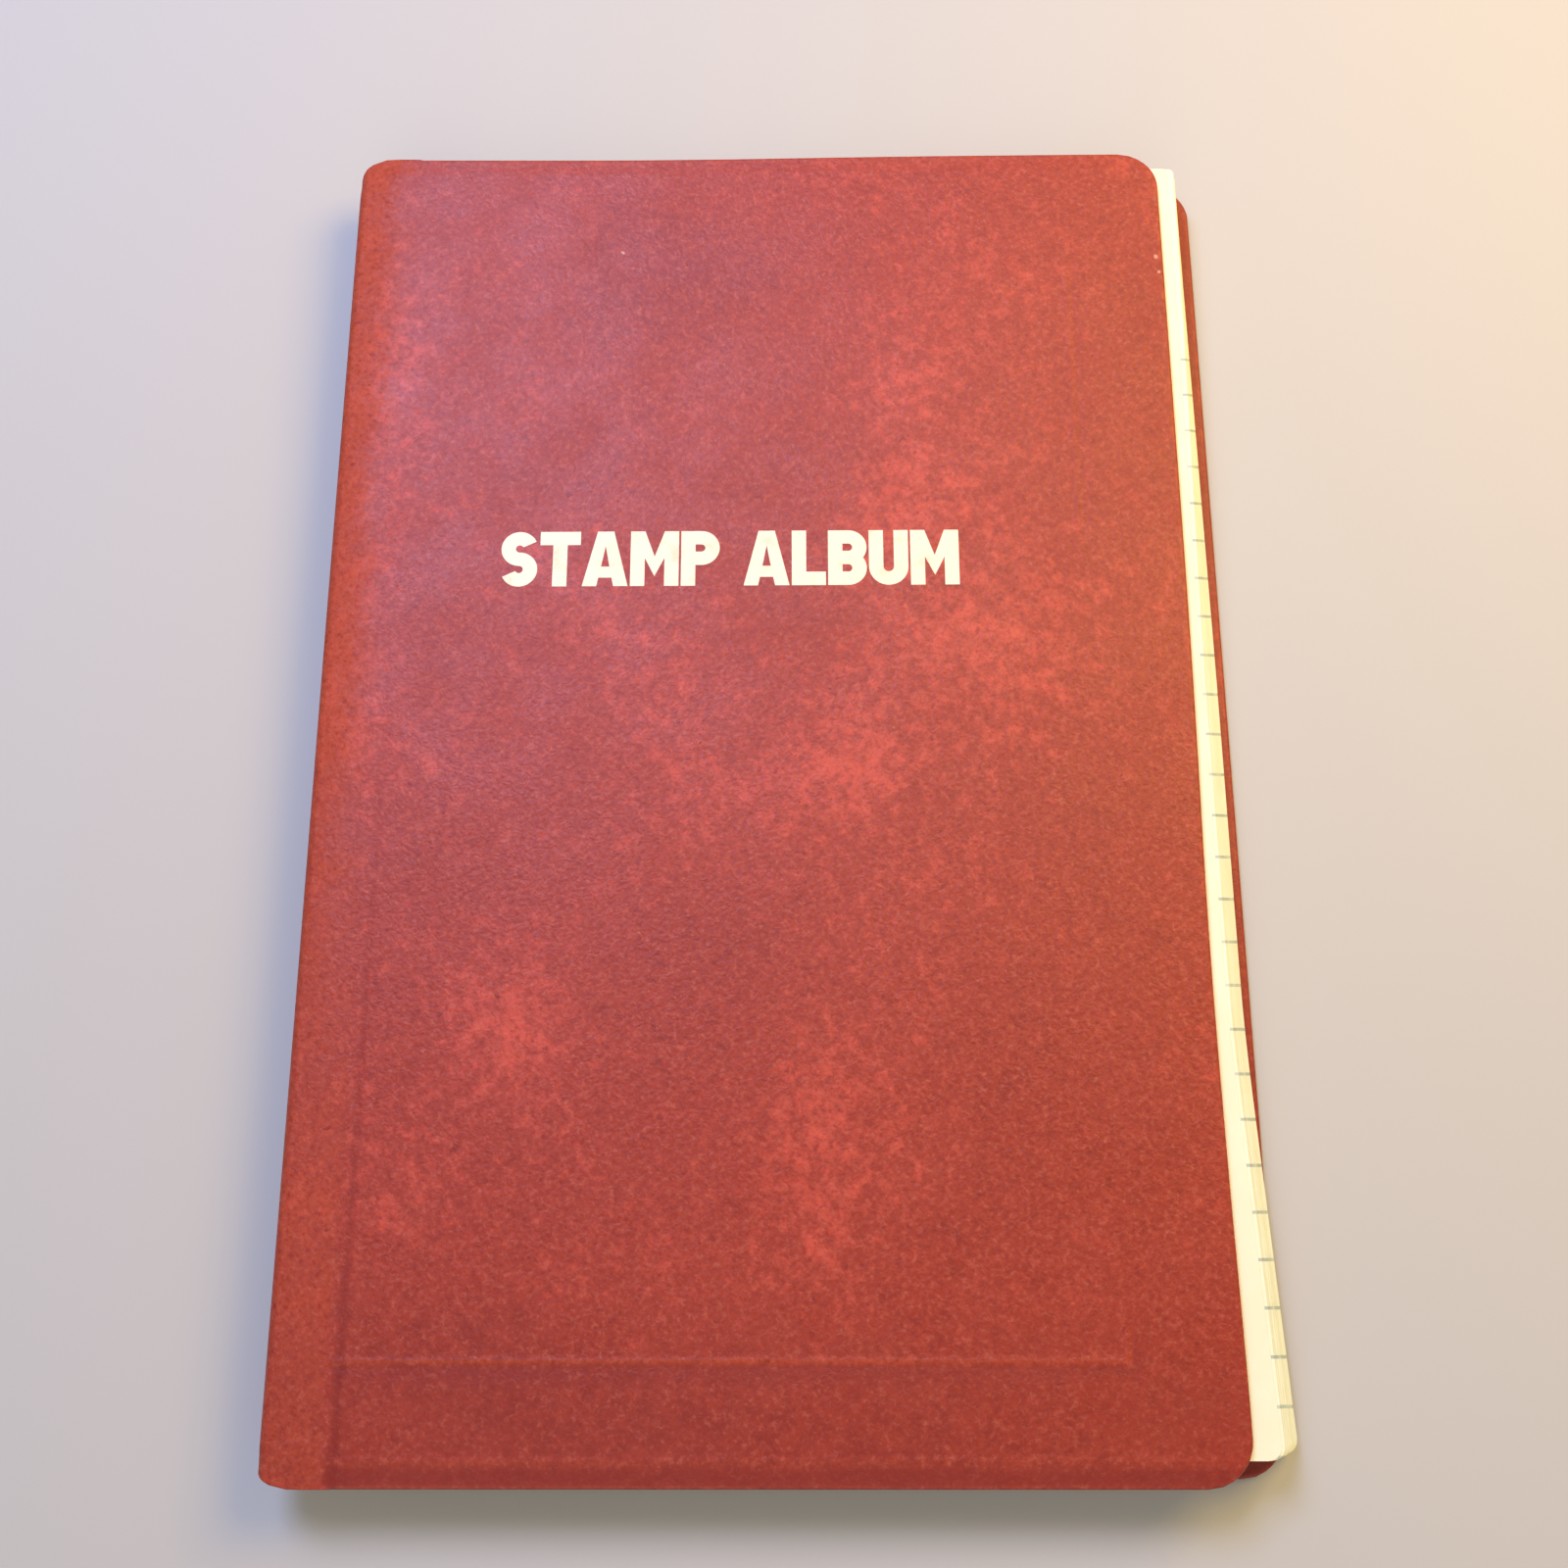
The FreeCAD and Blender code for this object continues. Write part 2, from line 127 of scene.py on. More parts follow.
# ---------------------------------------------------------------- meshes
def shell(
    name: str, outer: np.ndarray, inner: np.ndarray, marks: dict[str, np.ndarray] | None = None
) -> bpy.types.Object:
    """Closed sheet between two grids of points: both faces, and a wall along each border.

    Args:
        name: Name of the object and its mesh.
        outer: Points of one face in millimetres, shaped columns by rows by 3.
        inner: Points of the other face, in the same order.
        marks: Values at each grid point by attribute name, such as "wear" or "bloom".

    Returns:
        The new object, with its faces turned outwards.
    """
    columns, rows = outer.shape[:2]
    index = np.arange(columns * rows).reshape(columns, rows)
    under = index + columns * rows
    ends = (
        (index[1:, 0], index[:-1, 0], under[:-1, 0], under[1:, 0]),
        (index[:-1, -1], index[1:, -1], under[1:, -1], under[:-1, -1]),
        (index[0, :-1], index[0, 1:], under[0, 1:], under[0, :-1]),
        (index[-1, 1:], index[-1, :-1], under[-1, :-1], under[-1, 1:]),
    )
    top = (index[:-1, :-1], index[1:, :-1], index[1:, 1:], index[:-1, 1:])
    bottom = (under[:-1, :-1], under[:-1, 1:], under[1:, 1:], under[1:, :-1])
    quads = np.concatenate([np.stack([part.ravel() for part in side], 1) for side in (top, bottom) + ends])
    middle = (columns // 2, rows // 2)
    along = outer[middle[0] + 1, middle[1]] - outer[middle]
    across = outer[middle[0], middle[1] + 1] - outer[middle]
    if np.dot(np.cross(along, across), outer[middle] - inner[middle]) < 0:
        quads = quads[:, ::-1]
    points = np.concatenate([outer.reshape(-1, 3), inner.reshape(-1, 3)]) * MM
    mesh = bpy.data.meshes.new(name)
    mesh.from_pydata(points.tolist(), [], quads.tolist())
    mesh.polygons.foreach_set("use_smooth", np.ones(len(quads), bool))
    mesh.set_sharp_from_angle(angle=SHARP_ANGLE)
    for label, values in (marks or {}).items():
        layer = mesh.attributes.new(label, "FLOAT", "POINT")
        layer.data.foreach_set("value", np.tile(values.ravel(), 2).astype(np.float32))
    mesh.update()
    piece = bpy.data.objects.new(name, mesh)
    bpy.context.scene.collection.objects.link(piece)
    return piece


def joined(name: str, pieces: Iterable[bpy.types.Object]) -> bpy.types.Object:
    """One object from several, keeping every mesh where it lies.

    Args:
        name: Name of the object and its mesh.
        pieces: What is joined.

    Returns:
        The one object.
    """
    pieces = list(pieces)
    with bpy.context.temp_override(
        active_object=pieces[0], selected_objects=pieces, selected_editable_objects=pieces
    ):
        bpy.ops.object.join()
    pieces[0].name = name
    pieces[0].data.name = name
    return pieces[0]


# ---------------------------------------------------------------- shader wiring
class Wiring:
    """Short ways to add and join the nodes of one node tree."""

    def __init__(self, tree: bpy.types.NodeTree) -> None:
        """Take the tree that the nodes go into."""
        self.tree = tree

    def feed(self, socket: Socket, value: Feed) -> None:
        """Link a socket into an input, or set the input's own value.

        Args:
            socket: The input.
            value: A socket or a plain value.
        """
        if isinstance(value, Socket):
            self.tree.links.new(value, socket)
        else:
            socket.default_value = value

    def add(self, kind: str, inputs: dict[str, Feed] | None = None, **settings: object) -> bpy.types.Node:
        """Add a node.

        Args:
            kind: The node's type, without its "ShaderNode" prefix.
            inputs: What goes into its inputs, by the input's name.
            settings: The node's own properties.

        Returns:
            The node.
        """
        node = self.tree.nodes.new("ShaderNode" + kind)
        for key, value in settings.items():
            setattr(node, key, value)
        for key, value in (inputs or {}).items():
            self.feed(node.inputs[key], value)
        return node

    def sum(self, operation: str, *values: Feed) -> Socket:
        """Sum worked out by a Math node, not clamped.

        Args:
            operation: The node's operation.
            values: One to three sockets or numbers.

        Returns:
            The result.
        """
        node = self.add("Math", operation=operation)
        for socket, value in zip(node.inputs, values):
            self.feed(socket, value)
        return node.outputs[0]

    def move(self, operation: str, first: Feed, second: Feed) -> Socket:
        """Sum worked out by a Vector Math node.

        Args:
            operation: The node's operation.
            first: A vector.
            second: A vector, or a number when the operation is SCALE.

        Returns:
            The result.
        """
        node = self.add("VectorMath", operation=operation)
        self.feed(node.inputs[0], first)
        self.feed(node.inputs["Scale" if operation == "SCALE" else 1], second)
        return node.outputs["Vector"]

    def mix(self, share: Feed, first: Feed, second: Feed) -> Socket:
        """Colour between two others.

        Args:
            share: 0 for the first, 1 for the second.
            first: The colour underneath.
            second: The colour laid over it.

        Returns:
            The mixed colour.
        """
        node = self.add("Mix", data_type="RGBA")
        for socket, value in ((node.inputs[0], share), (node.inputs[6], first), (node.inputs[7], second)):
            self.feed(socket, value)
        return node.outputs[2]

    def noise(self, vector: Feed, scale: Feed, detail: float = 3.0, rough: float = 0.5) -> Socket:
        """Height of fractal noise, about 0.3 to 0.7; scale is in features per metre."""
        inputs = {"Vector": vector, "Scale": scale, "Detail": detail, "Roughness": rough}
        return self.add("TexNoise", inputs).outputs[0]

    def ramp(self, value: Feed, low: Feed, high: Feed, start: float = 0.0, end: float = 1.0) -> Socket:
        """Map low..high to start..end, smoothly and held at both ends."""
        inputs = {"Value": value, "From Min": low, "From Max": high, "To Min": start, "To Max": end}
        return self.add("MapRange", inputs, interpolation_type="SMOOTHSTEP").outputs[0]


class Kind(Enum):
    """Socket types of a node group's interface."""

    NUMBER = "NodeSocketFloat"
    VECTOR = "NodeSocketVector"
    COLOUR = "NodeSocketColor"


@dataclass
class Effect:
    """A shader node group that several finishes place with their own values."""

    name: str
    takes: dict[str, Kind]
    gives: dict[str, Kind]
    build: Callable[[Wiring, Sockets], Sockets]
    tree: bpy.types.NodeTree | None = field(default=None, init=False)

    def place(self, wiring: Wiring, inputs: dict[str, Feed]) -> bpy.types.Node:
        """Put the group into a material, building it the first time.

        Args:
            wiring: The material's wiring.
            inputs: Values or sockets for the group's inputs, by name.

        Returns:
            The group node, whose outputs are found by name.
        """
        if self.tree is None:
            self.tree = bpy.data.node_groups.new(self.name, "ShaderNodeTree")
            for label, kind in self.takes.items():
                self.tree.interface.new_socket(label, in_out="INPUT", socket_type=kind.value)
            for label, kind in self.gives.items():
                self.tree.interface.new_socket(label, in_out="OUTPUT", socket_type=kind.value)
            start = self.tree.nodes.new("NodeGroupInput")
            end = self.tree.nodes.new("NodeGroupOutput")
            made = self.build(Wiring(self.tree), {label: start.outputs[label] for label in self.takes})
            for label, socket in made.items():
                self.tree.links.new(socket, end.inputs[label])
        node = wiring.tree.nodes.new("ShaderNodeGroup")
        node.node_tree = self.tree
        for label, value in inputs.items():
            wiring.feed(node.inputs[label], value)
        return node


def build_pebble(w: Wiring, given: Sockets) -> Sockets:
    """Pebble grain: small rounded cells, softened by crumbs finer than they are.

    Places are shifted by a coloured noise first, so that the cells' walls aren't straight.

    Args:
        w: Wiring of the group.
        given: The group's inputs, by name.

    Returns:
        What the group puts out, by name.
    """
    drift = w.add("TexNoise", {"Vector": given["Place"], "Scale": 700.0, "Detail": 3.0}).outputs["Color"]
    shifted = w.move("SCALE", w.move("SUBTRACT", drift, (0.5, 0.5, 0.5)), 0.0016)
    place = w.move("ADD", given["Place"], shifted)
    cells = w.add("TexVoronoi", {"Vector": place, "Scale": given["Cells"]}).outputs["Distance"]
    crumbs = w.noise(place, 2100.0, 4.0, 0.65)
    return {"Height": w.sum("MULTIPLY_ADD", crumbs, 0.9, w.sum("MULTIPLY", cells, -0.7))}


def build_clouds(w: Wiring, given: Sockets) -> Sockets:
    """Cloudy colour: patches broken up into flecks, and masks of fine pale and dark crumbs.

    The patch level, about -1 to 1, moves the level at which the flecks turn bright; its patches are uneven
    dyeing, with a painted shadow and a painted band of light among them.

    Args:
        w: Wiring of the group.
        given: The group's inputs, by name.

    Returns:
        What the group puts out, by name.
    """
    wide = w.noise(given["Place"], 34.0, 4.0, 0.6)
    flecks = w.noise(given["Place"], 420.0, 5.0, 0.72)
    crumbs = w.noise(given["Place"], 1250.0, 4.0, 0.7)
    level = w.sum("MULTIPLY_ADD", given["Bloom"], 0.19, flecks)
    level = w.sum("MULTIPLY_ADD", w.sum("SUBTRACT", wide, 0.5), 0.45, level)
    colour = w.mix(w.ramp(level, 0.48, 0.82), given["Base"], given["Bright"])
    colour = w.mix(w.ramp(level, 0.46, 0.24, 0.0, 0.5), colour, given["Deep"])
    specks = w.ramp(w.noise(given["Place"], 640.0, 1.0), 0.70, 0.76, 0.0, 0.6)
    return {
        "Colour": colour,
        "Pale": w.ramp(crumbs, 0.48, 0.74, 0.0, 0.66),
        "Dark": w.sum("MAXIMUM", specks, w.ramp(crumbs, 0.50, 0.28, 0.0, 0.62)),
    }


def build_rubbing_and_shading(w: Wiring, given: Sockets) -> Sockets:
    """Paling and darkening: above 0 the mask pales the surface, for abrasion and for a painted band of light;
    below 0 it darkens it, for painted shade and for darker towards the tail.

    Args:
        w: Wiring of the group.
        given: The group's inputs, by name.

    Returns:
        What the group puts out, by name.
    """
    fine = w.noise(given["Place"], 900.0, 4.0, 0.65)
    patch = w.noise(given["Place"], 70.0, 3.0, 0.6)
    broken = w.sum("MULTIPLY_ADD", w.sum("ADD", fine, patch), 0.75, -0.75)
    rubbed = w.sum("ADD", given["Wear"], w.sum("MULTIPLY", broken, w.ramp(given["Wear"], 0.0, 0.3)))
    shade_and_darkening = w.sum("ADD", w.sum("MULTIPLY", given["Wear"], -1.0), broken)
    return {
        "Rubbed": w.ramp(rubbed, 0.0, 1.0),
        "Soiled": w.sum("MULTIPLY", w.ramp(shade_and_darkening, 0.0, 1.0, 0.0, 0.8), w.ramp(given["Wear"], 0.0, -0.2)),
    }


def build_fibre(w: Wiring, given: Sockets) -> Sockets:
    """Paper: cloudy look-through, short fibres and a faint tooth.

    Args:
        w: Wiring of the group.
        given: The group's inputs, by name.

    Returns:
        What the group puts out, by name.
    """
    clouds = w.noise(given["Place"], 120.0, 4.0, 0.6)
    tooth = w.noise(given["Place"], 3800.0, 4.0, 0.7)
    stretched = w.add("Mapping", {"Vector": given["Place"], "Scale": (5200.0, 700.0, 700.0)}).outputs[0]
    fibres = w.noise(stretched, 1.0, 2.0, 0.5)
    return {
        "Tone": w.sum("MULTIPLY_ADD", fibres, 0.35, clouds),
        "Height": w.sum("MULTIPLY_ADD", fibres, 0.5, tooth),
    }


def build_feint(w: Wiring, given: Sockets) -> Sockets:
    """Ruling across the leaf: a line each pitch between first and last, measured along Y.

    From leaf to leaf the lines draw together about the level, by Z (Y - level) fan, so that
    their ends lie straight across the stepped fore-edge.

    Args:
        w: Wiring of the group.
        given: The group's inputs, by name.

    Returns:
        What the group puts out, by name.
    """
    parts = w.add("SeparateXYZ", {"Vector": given["Place"]})
    from_level = w.sum("MULTIPLY", w.sum("SUBTRACT", parts.outputs["Y"], given["Level"]), given["Fan"])
    along = w.sum("MULTIPLY_ADD", parts.outputs["Z"], from_level, parts.outputs["Y"])
    turns = w.sum("DIVIDE", w.sum("SUBTRACT", along, given["First"]), given["Pitch"])
    off_line = w.sum("ABSOLUTE", w.sum("SUBTRACT", w.sum("FRACT", w.sum("ADD", turns, 0.5)), 0.5))
    distance = w.sum("MULTIPLY", off_line, given["Pitch"])
    line = w.ramp(distance, given["Width"], w.sum("MULTIPLY", given["Width"], 0.5))
    below_head = w.sum("GREATER_THAN", w.sum("MULTIPLY_ADD", given["Pitch"], 0.5, given["Last"]), along)
    ink = w.ramp(w.noise(given["Place"], 420.0, 2.0), 0.30, 0.62, 0.55, 1.0)
    return {"Mask": w.sum("MULTIPLY", w.sum("MULTIPLY", line, below_head), ink)}


PLACE = {"Place": Kind.VECTOR}
PEBBLE = Effect("Pebble grain", PLACE | {"Cells": Kind.NUMBER}, {"Height": Kind.NUMBER}, build_pebble)
CLOUDS = Effect(
    "Cloudy dye",
    PLACE | {"Bloom": Kind.NUMBER, "Base": Kind.COLOUR, "Bright": Kind.COLOUR, "Deep": Kind.COLOUR},
    {"Colour": Kind.COLOUR, "Pale": Kind.NUMBER, "Dark": Kind.NUMBER},
    build_clouds,
)
RUBBING_AND_SHADING = Effect(
    "Rubbed wear",
    PLACE | {"Wear": Kind.NUMBER},
    {"Rubbed": Kind.NUMBER, "Soiled": Kind.NUMBER},
    build_rubbing_and_shading,
)
FIBRE = Effect("Paper fibre", PLACE, {"Tone": Kind.NUMBER, "Height": Kind.NUMBER}, build_fibre)
FEINT = Effect(
    "Feint ruling",
    PLACE | {label: Kind.NUMBER for label in ("First", "Last", "Pitch", "Width", "Level", "Fan")},
    {"Mask": Kind.NUMBER},
    build_feint,
)


# ---------------------------------------------------------------- finishes
@dataclass(frozen=True)
class Finish:
    """What every finish has: a name, and a material made the first time it is asked for."""

    name: str

    def dress(self, w: Wiring, place: Socket, shader: bpy.types.Node) -> None:
        """Fill in the shader; each finish has its own."""
        raise NotImplementedError

    def material(self) -> bpy.types.Material:
        """The finish's material, with object coordinates as its place.

        Returns:
            The material, the same one each time.
        """
        found = bpy.data.materials.get(self.name)
        if found:
            return found
        made = bpy.data.materials.new(self.name)
        made.use_nodes = True
        wiring = Wiring(made.node_tree)
        shader = next(node for node in made.node_tree.nodes if node.type == "BSDF_PRINCIPLED")
        self.dress(wiring, wiring.add("TexCoord").outputs["Object"], shader)
        return made

    def put_on(self, piece: bpy.types.Object) -> None:
        """Make this the piece's only material."""
        piece.data.materials.clear()
        piece.data.materials.append(self.material())


def bump(w: Wiring, shader: bpy.types.Node, height: Feed, depth: float, strength: float = 1.0) -> None:
    """Relief on a shader's normal.

    Args:
        w: The material's wiring.
        shader: The shader that gets the relief.
        height: Socket that holds the relief, about 0 to 1.
        depth: Height of that 0 to 1 in metres.
        strength: Share of the relief that shows.
    """
    node = w.add("Bump", {"Height": height, "Distance": depth, "Strength": strength})
    w.feed(shader.inputs["Normal"], node.outputs[0])


@dataclass(frozen=True)
class Leathercloth(Finish):
    """Red pebble-grained leathercloth, cloudily dyed, paled by abrasion at its edges, and with painted light
    and shade in its colour.
    """

    base: Colour = (0.305, 0.026, 0.010, 1.0)
    bright: Colour = (0.53, 0.064, 0.034, 1.0)
    pale: Colour = (0.45, 0.094, 0.058, 1.0)
    deep: Colour = (0.195, 0.009, 0.004, 1.0)
    # paler orange for abrasion, and for the painted light of the band along the spine edge
    rubbed: Colour = (0.44, 0.082, 0.038, 1.0)
    speck: Colour = (0.74, 0.46, 0.38, 1.0)
    specks: tuple[Triple, ...] = (
        (-25.8, 83.4, 0.40),
        (60.2, 82.0, 0.46),
        (60.6, 79.2, 0.42),
    )
    outer_face: float = 10.0
    lattice_turn: Triple = (0.61, 0.37, 0.93)
    cells: float = 1400.0
    grain_depth: float = 0.00009

    def dress(self, w: Wiring, place: Socket, shader: bpy.types.Node) -> None:
        """Dyed colour, then paling for abrasion and painted light, darkening for painted shade and towards
        the tail, and specks; what is paled is duller than the rest.

        The patterns are turned so that no plane of their lattice lies in the covers.

        Args:
            w: The material's wiring.
            place: Where on the piece.
            shader: The shader that is dressed.
        """
        turned = w.add("Mapping", {"Vector": place, "Rotation": self.lattice_turn}).outputs[0]
        # patch levels: uneven dyeing, with a painted shadow and a painted band of light among them
        bloom = w.add("Attribute", attribute_name="bloom").outputs["Fac"]
        dye_and_shading = CLOUDS.place(
            w,
            {"Place": turned, "Bloom": bloom, "Base": self.base, "Bright": self.bright, "Deep": self.deep},
        )
        worn_and_shaded = w.add("Attribute", attribute_name="wear").outputs["Fac"]
        rubbing_and_shading = RUBBING_AND_SHADING.place(w, {"Place": turned, "Wear": worn_and_shaded}).outputs
        # paler orange for abrasion and for the painted band of light along the spine edge
        colour = w.mix(w.sum("MULTIPLY", rubbing_and_shading["Rubbed"], 0.62), dye_and_shading.outputs["Colour"], self.rubbed)
        colour = w.mix(dye_and_shading.outputs["Pale"], colour, self.pale)
        # darker red for painted shade, for darker towards the tail, and for the dark crumbs
        colour = w.mix(w.sum("MAXIMUM", dye_and_shading.outputs["Dark"], rubbing_and_shading["Soiled"]), colour, self.deep)
        for across, along, radius in self.specks:
            away = w.add("VectorMath", operation="DISTANCE")
            w.feed(away.inputs[0], place)
            w.feed(away.inputs[1], (across * MM, along * MM, self.outer_face * MM))
            chipped = w.sum("MULTIPLY_ADD", w.noise(place, 1900.0, 2.0), -0.7 * MM, away.outputs["Value"])
            shown = w.ramp(chipped, (radius - 0.35) * MM, (radius - 0.60) * MM, 0.0, 0.5)
            colour = w.mix(shown, colour, self.speck)
        w.feed(shader.inputs["Base Color"], colour)
        rough = w.ramp(w.noise(place, 90.0, 3.0), 0.3, 0.7, 0.44, 0.52)
        w.feed(shader.inputs["Roughness"], w.sum("MULTIPLY_ADD", rubbing_and_shading["Rubbed"], 0.10, rough))
        w.feed(shader.inputs["Specular IOR Level"], w.ramp(rubbing_and_shading["Rubbed"], 0.0, 1.0, 0.5, 0.15))
        grain = PEBBLE.place(w, {"Place": turned, "Cells": self.cells})
        bump(w, shader, grain.outputs["Height"], self.grain_depth, 0.8)


@dataclass(frozen=True)
class Paper(Finish):
    """Plain uncoated paper."""

    white: Colour = (0.86, 0.86, 0.66, 1.0)
    shade: Colour = (0.79, 0.77, 0.53, 1.0)
    roughness: float = 0.85
    tooth: float = 0.6

    def inked(self, w: Wiring, place: Socket, colour: Socket) -> Socket:
        """The paper's colour with its ink; plain paper has none."""
        return colour

    def dress(self, w: Wiring, place: Socket, shader: bpy.types.Node) -> None:
        """Look-through, ink and tooth, quite matt.

        Args:
            w: The material's wiring.
            place: Where on the piece.
            shader: The shader that is dressed.
        """
        fibre = FIBRE.place(w, {"Place": place})
        cloudy = w.ramp(fibre.outputs["Tone"], 0.5, 0.85, 0.0, 0.4)
        colour = self.inked(w, place, w.mix(cloudy, self.white, self.shade))
        w.feed(shader.inputs["Base Color"], colour)
        shader.inputs["Roughness"].default_value = self.roughness
        shader.inputs["Specular IOR Level"].default_value = 0.25
        bump(w, shader, fibre.outputs["Height"], 0.00002, self.tooth)


@dataclass(frozen=True)
class LedgerPaper(Paper):
    """Leaf paper with feint lines that run off the fore-edge and upright money columns."""

    roughness: float = 0.8
    tooth: float = 0.5
    ink: Colour = (0.33, 0.42, 0.40, 1.0)
    column_ink: Colour = (0.62, 0.16, 0.17, 1.0)
    pitch: float = 6.46 * MM
    first: float = -92.43 * MM
    last: float = 70.53 * MM
    width: float = 0.30 * MM
    level: float = -66.9 * MM
    fan: float = 4.3
    columns: tuple[float, ...] = (-38.0, 26.0, 27.2, 46.0)

    def inked(self, w: Wiring, place: Socket, colour: Socket) -> Socket:
        """Feint lines, and columns at fixed distances along X.

        Args:
            w: The material's wiring.
            place: Where on the leaf.
            colour: The plain paper's colour.

        Returns:
            The colour with the lines drawn over it.
        """
        sizes = {label: getattr(self, label.lower()) for label in FEINT.takes if label != "Place"}
        lines = FEINT.place(w, {"Place": place} | sizes)
        colour = w.mix(w.sum("MULTIPLY", lines.outputs["Mask"], 0.8), colour, self.ink)
        across = w.add("SeparateXYZ", {"Vector": place}).outputs["X"]
        for column in self.columns:
            distance = w.sum("ABSOLUTE", w.sum("SUBTRACT", across, column * MM))
            mask = w.ramp(distance, self.width, self.width * 0.5, 0.0, 0.6)
            colour = w.mix(mask, colour, self.column_ink)
        return colour


@dataclass(frozen=True)
class Foil(Finish):
    """Pale cream pigment foil pressed into the grain, with pinholes where it missed a hollow."""

    cream: Colour = (0.86, 0.80, 0.62, 1.0)
    dusty: Colour = (0.76, 0.67, 0.48, 1.0)
    under: Colour = (0.50, 0.12, 0.09, 1.0)
    cells: float = 1500.0

    def dress(self, w: Wiring, place: Socket, shader: bpy.types.Node) -> None:
        """Cream, a little dusty, and the leathercloth showing in the pinholes.

        Args:
            w: The material's wiring.
            place: Where on the piece.
            shader: The shader that is dressed.
        """
        grain = PEBBLE.place(w, {"Place": place, "Cells": self.cells})
        colour = w.mix(w.ramp(w.noise(place, 330.0, 4.0), 0.5, 0.75), self.cream, self.dusty)
        holes = w.ramp(w.noise(place, 900.0, 4.0, 0.7), 0.70, 0.80)
        w.feed(shader.inputs["Base Color"], w.mix(holes, colour, self.under))
        shader.inputs["Roughness"].default_value = 0.5
        bump(w, shader, grain.outputs["Height"], 0.00003, 0.6)


@dataclass(frozen=True)
class Cloth(Finish):
    """Open plain weave, for the mull and the thread."""

    colour: Colour = (0.70, 0.64, 0.50, 1.0)
    hollow: Colour = (0.40, 0.33, 0.22, 1.0)
    threads: float = 2200.0

    def dress(self, w: Wiring, place: Socket, shader: bpy.types.Node) -> None:
        """Crossed ripples of thread: the largest of the sines' sizes along X, Y and Z.

        Args:
            w: The material's wiring.
            place: Where on the piece.
            shader: The shader that is dressed.
        """
        parts = w.add("SeparateXYZ", {"Vector": place})
        waves = [
            w.sum("ABSOLUTE", w.sum("SINE", w.sum("MULTIPLY", parts.outputs[axis], self.threads)))
            for axis in ("X", "Y", "Z")
        ]
        weave = w.sum("MAXIMUM", w.sum("MAXIMUM", waves[0], waves[2]), waves[1])
        w.feed(shader.inputs["Base Color"], w.mix(w.ramp(weave, 0.55, 0.95), self.hollow, self.colour))
        shader.inputs["Roughness"].default_value = 0.9
        bump(w, shader, weave, 0.00008, 0.7)


LEATHERCLOTH = Leathercloth("Red leathercloth")
ENDPAPER = Paper("Endpaper")
LEAF_PAPER = LedgerPaper("Ledger paper", white=(0.83, 0.87, 0.70, 1.0), shade=(0.75, 0.78, 0.57, 1.0))
CARD = Paper("Cover card", white=(0.46, 0.43, 0.36, 1.0), shade=(0.36, 0.33, 0.27, 1.0))
KRAFT = Paper("Kraft liner", white=(0.50, 0.36, 0.22, 1.0), shade=(0.40, 0.28, 0.16, 1.0))
CREAM_FOIL = Foil("Cream foil")
MULL_CLOTH = Cloth("Mull cloth")
THREAD = Cloth(
    "Sewing thread", colour=(0.78, 0.74, 0.62, 1.0), hollow=(0.55, 0.50, 0.38, 1.0), threads=6000.0
)


# ---------------------------------------------------------------- covers and spine
class Side(Enum):
    """Which cover: the value is the way its outer face looks along Z."""

    FRONT = 1.0
    BACK = -1.0


